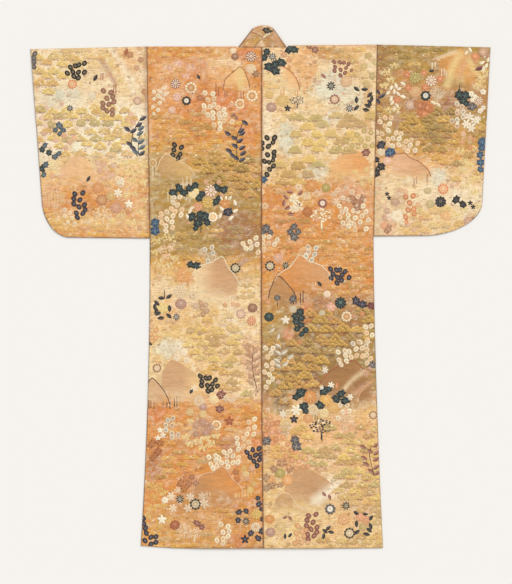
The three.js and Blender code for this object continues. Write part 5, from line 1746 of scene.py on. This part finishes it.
            # painted sheen and shade on the hill's fill: horizontal bands of lighter and darker silk, and
            # the fill lighter high up than at its foot
            sheen = 0.13 * noise(dense[:, 0], row, (12, 1.6), 31)[:, None]
            silk = 1 + 0.1 * math.sin(2.6 * down + 0.6) + sheen
            share = strength * (1 - smooth((down - 0.45) / 0.5)) * mix(1, smooth(ends), down)[:, None]
            x, y = from_chart(dense[:, 0], row)
            tint = mix(ground(self.name, x, y), fill * silk, share)
            # the hill's fill under the same painted sheen streaks
            tints.append(painted_sheen(self.name, dense[:, 0], row, tint))
        for s in range(HILL_ROWS):
            for k in range(columns - 1):
                corners = [(s, k), (s + 1, k), (s + 1, k + 1), (s, k + 1)]
                self.rims.append([start + a * columns + b for a, b in corners])
                self.dyes.append(np.array([tints[a][b] for a, b in corners]))
        if HUE[edge].tolist() not in fills.tolist():
            self.line(dense, 0.85, mix(fill.mean(axis=0), HUE[edge], 0.85))
        self.hill_boxes.append((crest[:, 0].min(), crest[:, 1].min(), crest[:, 0].max(), base))


def whole(build, spots, margin):
    """Which of the spots lie on the piece, not just at its edges, and the ground's colours there."""
    x, y = from_chart(spots[:, 0], spots[:, 1])
    kept = build.form.keep(x, y, FLOAT_MARGIN)
    return (np.abs(kept[0] - x) < margin) & (np.abs(kept[1] - y) < margin), ground(build.name, *kept)


DASH_ROOM, BLOSSOM_ROOM = 15, 25  # square steps for each dash and for each small blossom
DASH_HUES = ("straw", "brown", "wheat", "plum", "pale", "bark")
BLOSSOM_HUES = (
    "rose", "gold", "straw", "flame", "olive", "brown", "honey", "orange", "rust", "pale", "brown",
)


def scatter(build):
    """Small blossoms, dashes and leaves in quiet colours, all over the ground between the motifs."""
    low, high = np.array(SPANS[build.name])

    def places(room):
        spots = RNG.uniform(low, high, (int(np.prod(high - low) / room), 2))
        fits, grounds = whole(build, spots, 2)
        return zip(spots[fits], grounds[fits])

    for spot, local in places(DASH_ROOM):
        hue = HUE[DASH_HUES[RNG.integers(len(DASH_HUES))]]
        dash = build.oval(RNG.uniform(1, 3.2), RNG.uniform(0.28, 0.5), 6)
        build.patch(spot, dash, [(1, mix(local, hue, RNG.uniform(0.35, 0.7)))], 0, 0.16)
    for spot, local in places(BLOSSOM_ROOM):
        kind, hue = RNG.integers(4), HUE[BLOSSOM_HUES[RNG.integers(len(BLOSSOM_HUES))]]
        size, turn, share = RNG.uniform(1.2, 2.6), RNG.uniform(-70, 70), RNG.uniform(0.35, 0.75)
        tint, deep = mix(local, hue, share), mix(local, HUE["brown"], 0.32)
        if kind == 0:
            build.patch(spot, build.oval(size * 1.5, 0.5, 6), [(1, tint)], 0, 0.2)
        elif kind == 1:
            rings = [(1, [tint, mix(tint, deep, 0.4)]), (0.36, deep)]
            build.patch(spot, build.lobed(size * 1.2, 5, 0.34, 2, 1), rings, 0, 0.24)
        elif kind == 2:
            leaf = build.turned(build.oval(size * 1.3, size * 0.6, 7), turn)
            build.patch(spot, leaf, [(1, tint)], 0, 0.2)
        else:
            leaf = build.turned(build.oval(size * 1.4, size * 0.4, 7), turn / 3)
            build.patch(spot, leaf, [(1, mix(tint, deep, 0.3))], 0, 0.2)


BIG_MOTIF = 3.9  # motifs above this size, in steps, keep pines off
PALE_GROUND = 0.36  # ground whose mean light is above this is pale
CLEAR_ACROSS, CLEAR_DOWN = 2.4, 0.8  # steps between a pine's middle and a motif


def plant_pines(build, motifs):
    """Rows of pines that stand between each other, clear of the bigger motifs and the hills."""
    spots = np.array([(c, r, min(size, 7) if size else 2.2) for c, r, size in motifs] or [(0, 0, 0)])
    reach = np.where(spots[:, 2] > BIG_MOTIF, spots[:, 2], 0.4)
    for left, top, right, bottom, strength, look, hues in PINES.get(build.name, []):
        pitch, drop, stray = PINE_LOOKS[look][4:]
        hues = [HUE[hue] for hue in hues.split()]
        places = np.array([
            (column + (pitch / 2 if k % 2 else 0), row, k)
            for k, row in enumerate(np.arange(top + drop * 0.6, bottom - drop * 0.2, drop))
            for column in np.arange(left + pitch * 0.3, right + pitch * 0.1, pitch)])
        places[:, :2] += RNG.uniform(-1, 1, (len(places), 2)) * stray
        fits, grounds = whole(build, places, 6)
        for (c, r, k), local in zip(places[fits], grounds[fits]):
            near = np.abs(c - spots[:, 0]) < reach + CLEAR_ACROSS
            near &= np.abs(r - spots[:, 1]) < reach + CLEAR_DOWN
            on_hill = any(a - 1 < c < d + 1 and b + 3 < r < e - 3 for a, b, d, e in build.hill_boxes)
            if near.any() or on_hill:
                continue
            hue = hues[RNG.integers(len(hues))]
            pale = local.mean() > PALE_GROUND
            tint = mix(local, hue, 0.3 + 0.65 * strength) * (1.12 if pale else 1)
            gloom = 0.3 + 0.42 * strength if pale else 0.35 + 0.5 * strength
            gloom *= 0.6 if look == "flat" else 1
            under = mix(local, HUE["plum"] if k % 2 else HUE["brown"] * 0.8, gloom)
            if look == "fan":
                under = mix(under, HUE["moss"] * 0.38, 0.62)
            halo = mix(local, HUE["pale"], 0.3 + 0.5 * strength) if pale else mix(local, under, 0.8)
            build.pine(c, r, look, tint, under, halo)


MOTIF_SIZES = {"lance": 3.6, "wreath": 3.3}  # where the chart gives none, and the others are
MOTIF_SIZE = 3.0
SPRIG_LEAN, LANCE_LEAN = 38, 56  # degrees that leaves lean away from their stem


def weave_floats(name, flip):
    """Every patch of floating threads on one side of a piece, from the ground upwards."""
    build = Floats(name, flip)
    groups = [(kind, dye, numbers(text)) for kind, dye, text in CHART[name]]
    motifs = [(*spot[:2], spot[2] if len(spot) > 2 else None) for _, _, spots in groups for spot in spots]
    if not flip:
        scatter(build)
    for entry in HILLS.get(name, []):
        build.hill(*entry)
    plant_pines(build, motifs)
    for hue, width, share, text in LINES.get(name, []):
        points = np.array(numbers(text))
        local = ground(name, *from_chart(points[:, 0], points[:, 1])).mean(axis=0)
        build.line(points, width, mix(local, HUE[hue], share))
    for kind, dye, spots in groups:
        centre = np.mean([spot[:2] for spot in spots], axis=0)

        def stem_column(row, near):
            return np.mean([spot[0] for spot in spots if abs(spot[1] - row) < near])

        if kind == "lance":
            rows = sorted(spot[1] for spot in spots)
            stem = [(stem_column(row, 9), row) for row in np.linspace(rows[0], rows[-1] + 3, 4)]
            build.line(stem, 0.7, build.edge_of(DYE[dye.removeprefix("soft ")][0]))
        for c, r, *more in spots:
            size = more[0] if more else MOTIF_SIZES.get(kind, MOTIF_SIZE)
            turn = more[1] if len(more) > 1 else 0
            pair = build.pair(dye, c, r)
            lean = 1 if c > stem_column(r, 7) else -1
            if kind == "sprig":
                build.leaf(c, r, size, SPRIG_LEAN * lean, *pair)
            elif kind == "lance":
                build.blade(c, r, size, LANCE_LEAN * lean, *pair)
            elif kind == "wreath":
                build.blade(c, r, size, -math.degrees(math.atan2(r - centre[1], c - centre[0])), *pair)
            else:
                getattr(build, kind)(c, r, size, turn, *pair)
    build.settle()
    return build


# ---- Materials ----
def nodes_of(material):
    """The material's emptied node tree, and a function that makes nodes in it."""
    material.use_nodes = True
    tree = material.node_tree
    tree.nodes.clear()

    def make(kind, **values):
        node = tree.nodes.new(kind)
        for key, value in values.items():
            setattr(node, key, value)
        return node

    return tree, make


def set_inputs(node, **values):
    """Sets inputs by name, with _ for a space in the name."""
    for key, value in values.items():
        node.inputs[key.replace("_", " ")].default_value = value


# Noise textures of the silk: how it is squeezed along X, Y and Z, its detail, and its scale
WARP_STREAKS = ((1, 0.16, 1), 2, 260)
WEFT_STREAKS = ((0.2, 1, 1), 3, 300)
SPECKS = ((1, 1, 1), 2, 520)
WARP_TONE = (1.065, 1.05, 1.01)  # evens out the warm tone that the streaks of the warp give
THREAD_HEIGHT = 0.0006  # metres


def brocade(name, threads, grain, streak, bump, roughness, sheen, warp):
    """Dyed silk: the dye attribute under streaks of weft, fine grain and thread relief."""
    material = bpy.data.materials.new(name)
    tree, make = nodes_of(material)
    link = tree.links.new
    output = make("ShaderNodeOutputMaterial")
    shader = make("ShaderNodeBsdfPrincipled")
    link(shader.outputs[0], output.inputs[0])
    set_inputs(shader, Roughness=roughness, Specular_IOR_Level=0.35)
    set_inputs(shader, Sheen_Weight=sheen, Sheen_Roughness=0.45)
    dye = make("ShaderNodeVertexColor", layer_name="dye")
    place = make("ShaderNodeTexCoord")

    def texture(squeeze, detail, size):
        mapping = make("ShaderNodeMapping")
        set_inputs(mapping, Scale=squeeze)
        link(place.outputs["Object"], mapping.inputs[0])
        cloud = make("ShaderNodeTexNoise")
        set_inputs(cloud, Scale=size, Detail=detail)
        link(mapping.outputs[0], cloud.inputs["Vector"])
        return cloud.outputs[0]

    def scaled(value, low, high):
        ramp = make("ShaderNodeMapRange")
        set_inputs(ramp, From_Min=0.3, From_Max=0.7, To_Min=low, To_Max=high)
        link(value, ramp.inputs[0])
        return ramp.outputs[0]

    def stained(colour, value, dark, light):
        """The colour times a tint between the two, so that shade turns browner and light creamier."""
        tint = make("ShaderNodeMix", data_type="RGBA")
        tint.inputs["A"].default_value = (*dark, 1)
        tint.inputs["B"].default_value = (*light, 1)
        link(scaled(value, 0, 1), tint.inputs["Factor"])
        blend = make("ShaderNodeVectorMath", operation="MULTIPLY")
        link(colour, blend.inputs[0])
        link(tint.outputs["Result"], blend.inputs[1])
        return blend.outputs[0]

    def tones(share, red, green, blue):
        """1 in each channel, changed by a share that is weighed for it."""
        return 1 + share * red, 1 + share * green, 1 + share * blue

    columns, wefts, specks = texture(*WARP_STREAKS), texture(*WEFT_STREAKS), texture(*SPECKS)
    colour = stained(dye.outputs[0], wefts, tones(-streak, 1, 1.35, 1.7), tones(streak, 1, 1.2, 1.4))
    red, green, blue = WARP_TONE
    shaded = (red - warp, green - 1.5 * warp, blue - 2 * warp)
    colour = stained(colour, columns, shaded, (red + warp,) * 3)
    colour = stained(colour, specks, tones(-grain, 1, 1.2, 1.4), tones(grain, 1, 1, 1))
    rows = make("ShaderNodeTexWave", wave_type="BANDS", bands_direction="Y", wave_profile="SIN")
    set_inputs(rows, Scale=threads, Distortion=1.2, Detail=1)
    link(place.outputs["Object"], rows.inputs["Vector"])
    ribbed = make("ShaderNodeVectorMath", operation="SCALE")
    link(colour, ribbed.inputs[0])
    link(scaled(rows.outputs["Fac"], 0.965, 1.035), ribbed.inputs["Scale"])
    link(ribbed.outputs[0], shader.inputs["Base Color"])
    relief = make("ShaderNodeMath", operation="ADD")
    link(wefts, relief.inputs[0])
    link(rows.outputs["Fac"], relief.inputs[1])
    raise_threads = make("ShaderNodeBump")
    set_inputs(raise_threads, Strength=bump, Distance=THREAD_HEIGHT)
    link(relief.outputs[0], raise_threads.inputs["Height"])
    link(raise_threads.outputs[0], shader.inputs["Normal"])
    return material


GROUND_SILK = brocade(
    "ground silk", threads=260, grain=0.12, streak=0.15, bump=0.5, roughness=0.6, sheen=0.25, warp=0.055)
FLOAT_SILK = brocade(
    "floating silk", threads=200, grain=0.07, streak=0.08, bump=0.7, roughness=0.5, sheen=0.2, warp=0.025)

# ---- Pieces ----
# Each cut: its maker, what its bake map takes in, its finished flat size in metres and its area in
# square metres, the pieces that it rests on, and the sides that are woven: False up, True down
CUTS = {
    "left_body_panel": (body_shell, 1600, (0.352, 3.05), 1.053, ["left_overlap"], (False, True)),
    "right_body_panel": (
        body_shell, 1600, (0.355, 3.05), 1.059, ["left_overlap", "left_body_panel"], (False, True)),
    "left_sleeve": (sleeve_shell, 1230, (0.345, 1.17), 0.386, [], (False, True)),
    "right_sleeve": (sleeve_shell, 1230, (0.345, 1.17), 0.379, [], (False, True)),
    "left_overlap": (overlap_shell, 1340, (0.158, 1.316), 0.1725, [], (True,)),
    "right_overlap": (overlap_shell, 1340, (0.158, 1.302), 0.177, ["left_body_panel"], (True,)),
    "collar": (collar_band, 1700, (0.065, 1.5), 0.0916, ["left_overlap"], (False,)),
}
for name, (maker, span, flat, area, rests_on, sides) in CUTS.items():
    piece = maker(name).mesh(f"{name}_silk", GROUND_SILK, span)
    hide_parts(name)
    for flip in sides:
        side_name = "front" if flip else "back"
        weave_floats(name, flip).mesh(f"{name}_{side_name}_floats", FLOAT_SILK, FLOAT_SPAN)

# ---- Stage ----
FLOOR_SPAN = 30.0
floor_mesh = bpy.data.meshes.new("floor")
half = FLOOR_SPAN / 2
corners = [(-half, -half, 0), (half, -half, 0), (half, half, 0), (-half, half, 0)]
floor_mesh.from_pydata(corners, [], [(0, 1, 2, 3)])
paper = bpy.data.materials.new("pale paper")
tree, make = nodes_of(paper)
matte, out = make("ShaderNodeBsdfDiffuse"), make("ShaderNodeOutputMaterial")
matte.inputs[0].default_value = (*linear("F6F3EE"), 1)
tree.links.new(matte.outputs[0], out.inputs[0])
floor_mesh.materials.append(paper)
floor = bpy.data.objects.new("floor", floor_mesh)
bpy.context.scene.collection.objects.link(floor)

WORLD_SHARE = 0.6  # of the light, the rest comes from the lamp
world = bpy.data.worlds.new("studio")
world.use_nodes = True
world.node_tree.nodes["Background"].inputs[0].default_value = (1, 1, 1, 1)
world.node_tree.nodes["Background"].inputs[1].default_value = WORLD_SHARE
bpy.context.scene.world = world

SUN_TILT = math.radians(48)
SUN_TURN = math.radians(-35)
lamp = bpy.data.lights.new("soft lamp", "SUN")
lamp.angle = math.radians(40)
lamp.energy = (1 - WORLD_SHARE) * math.pi / math.cos(SUN_TILT)
sun = bpy.data.objects.new("soft lamp", lamp)
sun.rotation_euler = (SUN_TILT, 0, SUN_TURN + math.pi)
bpy.context.scene.collection.objects.link(sun)

VIEW_HEIGHT = 584 * STEP * METRE  # what the picture's taller side takes in
LENS, SENSOR = 100.0, 36.0
camera_data = bpy.data.cameras.new("camera")
camera_data.lens = LENS
camera_data.sensor_width = SENSOR
camera = bpy.data.objects.new("camera", camera_data)
camera.location = (-13.7 * METRE, -15.5 * METRE, VIEW_HEIGHT * LENS / SENSOR)
bpy.context.scene.collection.objects.link(camera)
bpy.context.scene.camera = camera
bpy.context.scene.view_settings.view_transform = "Standard"
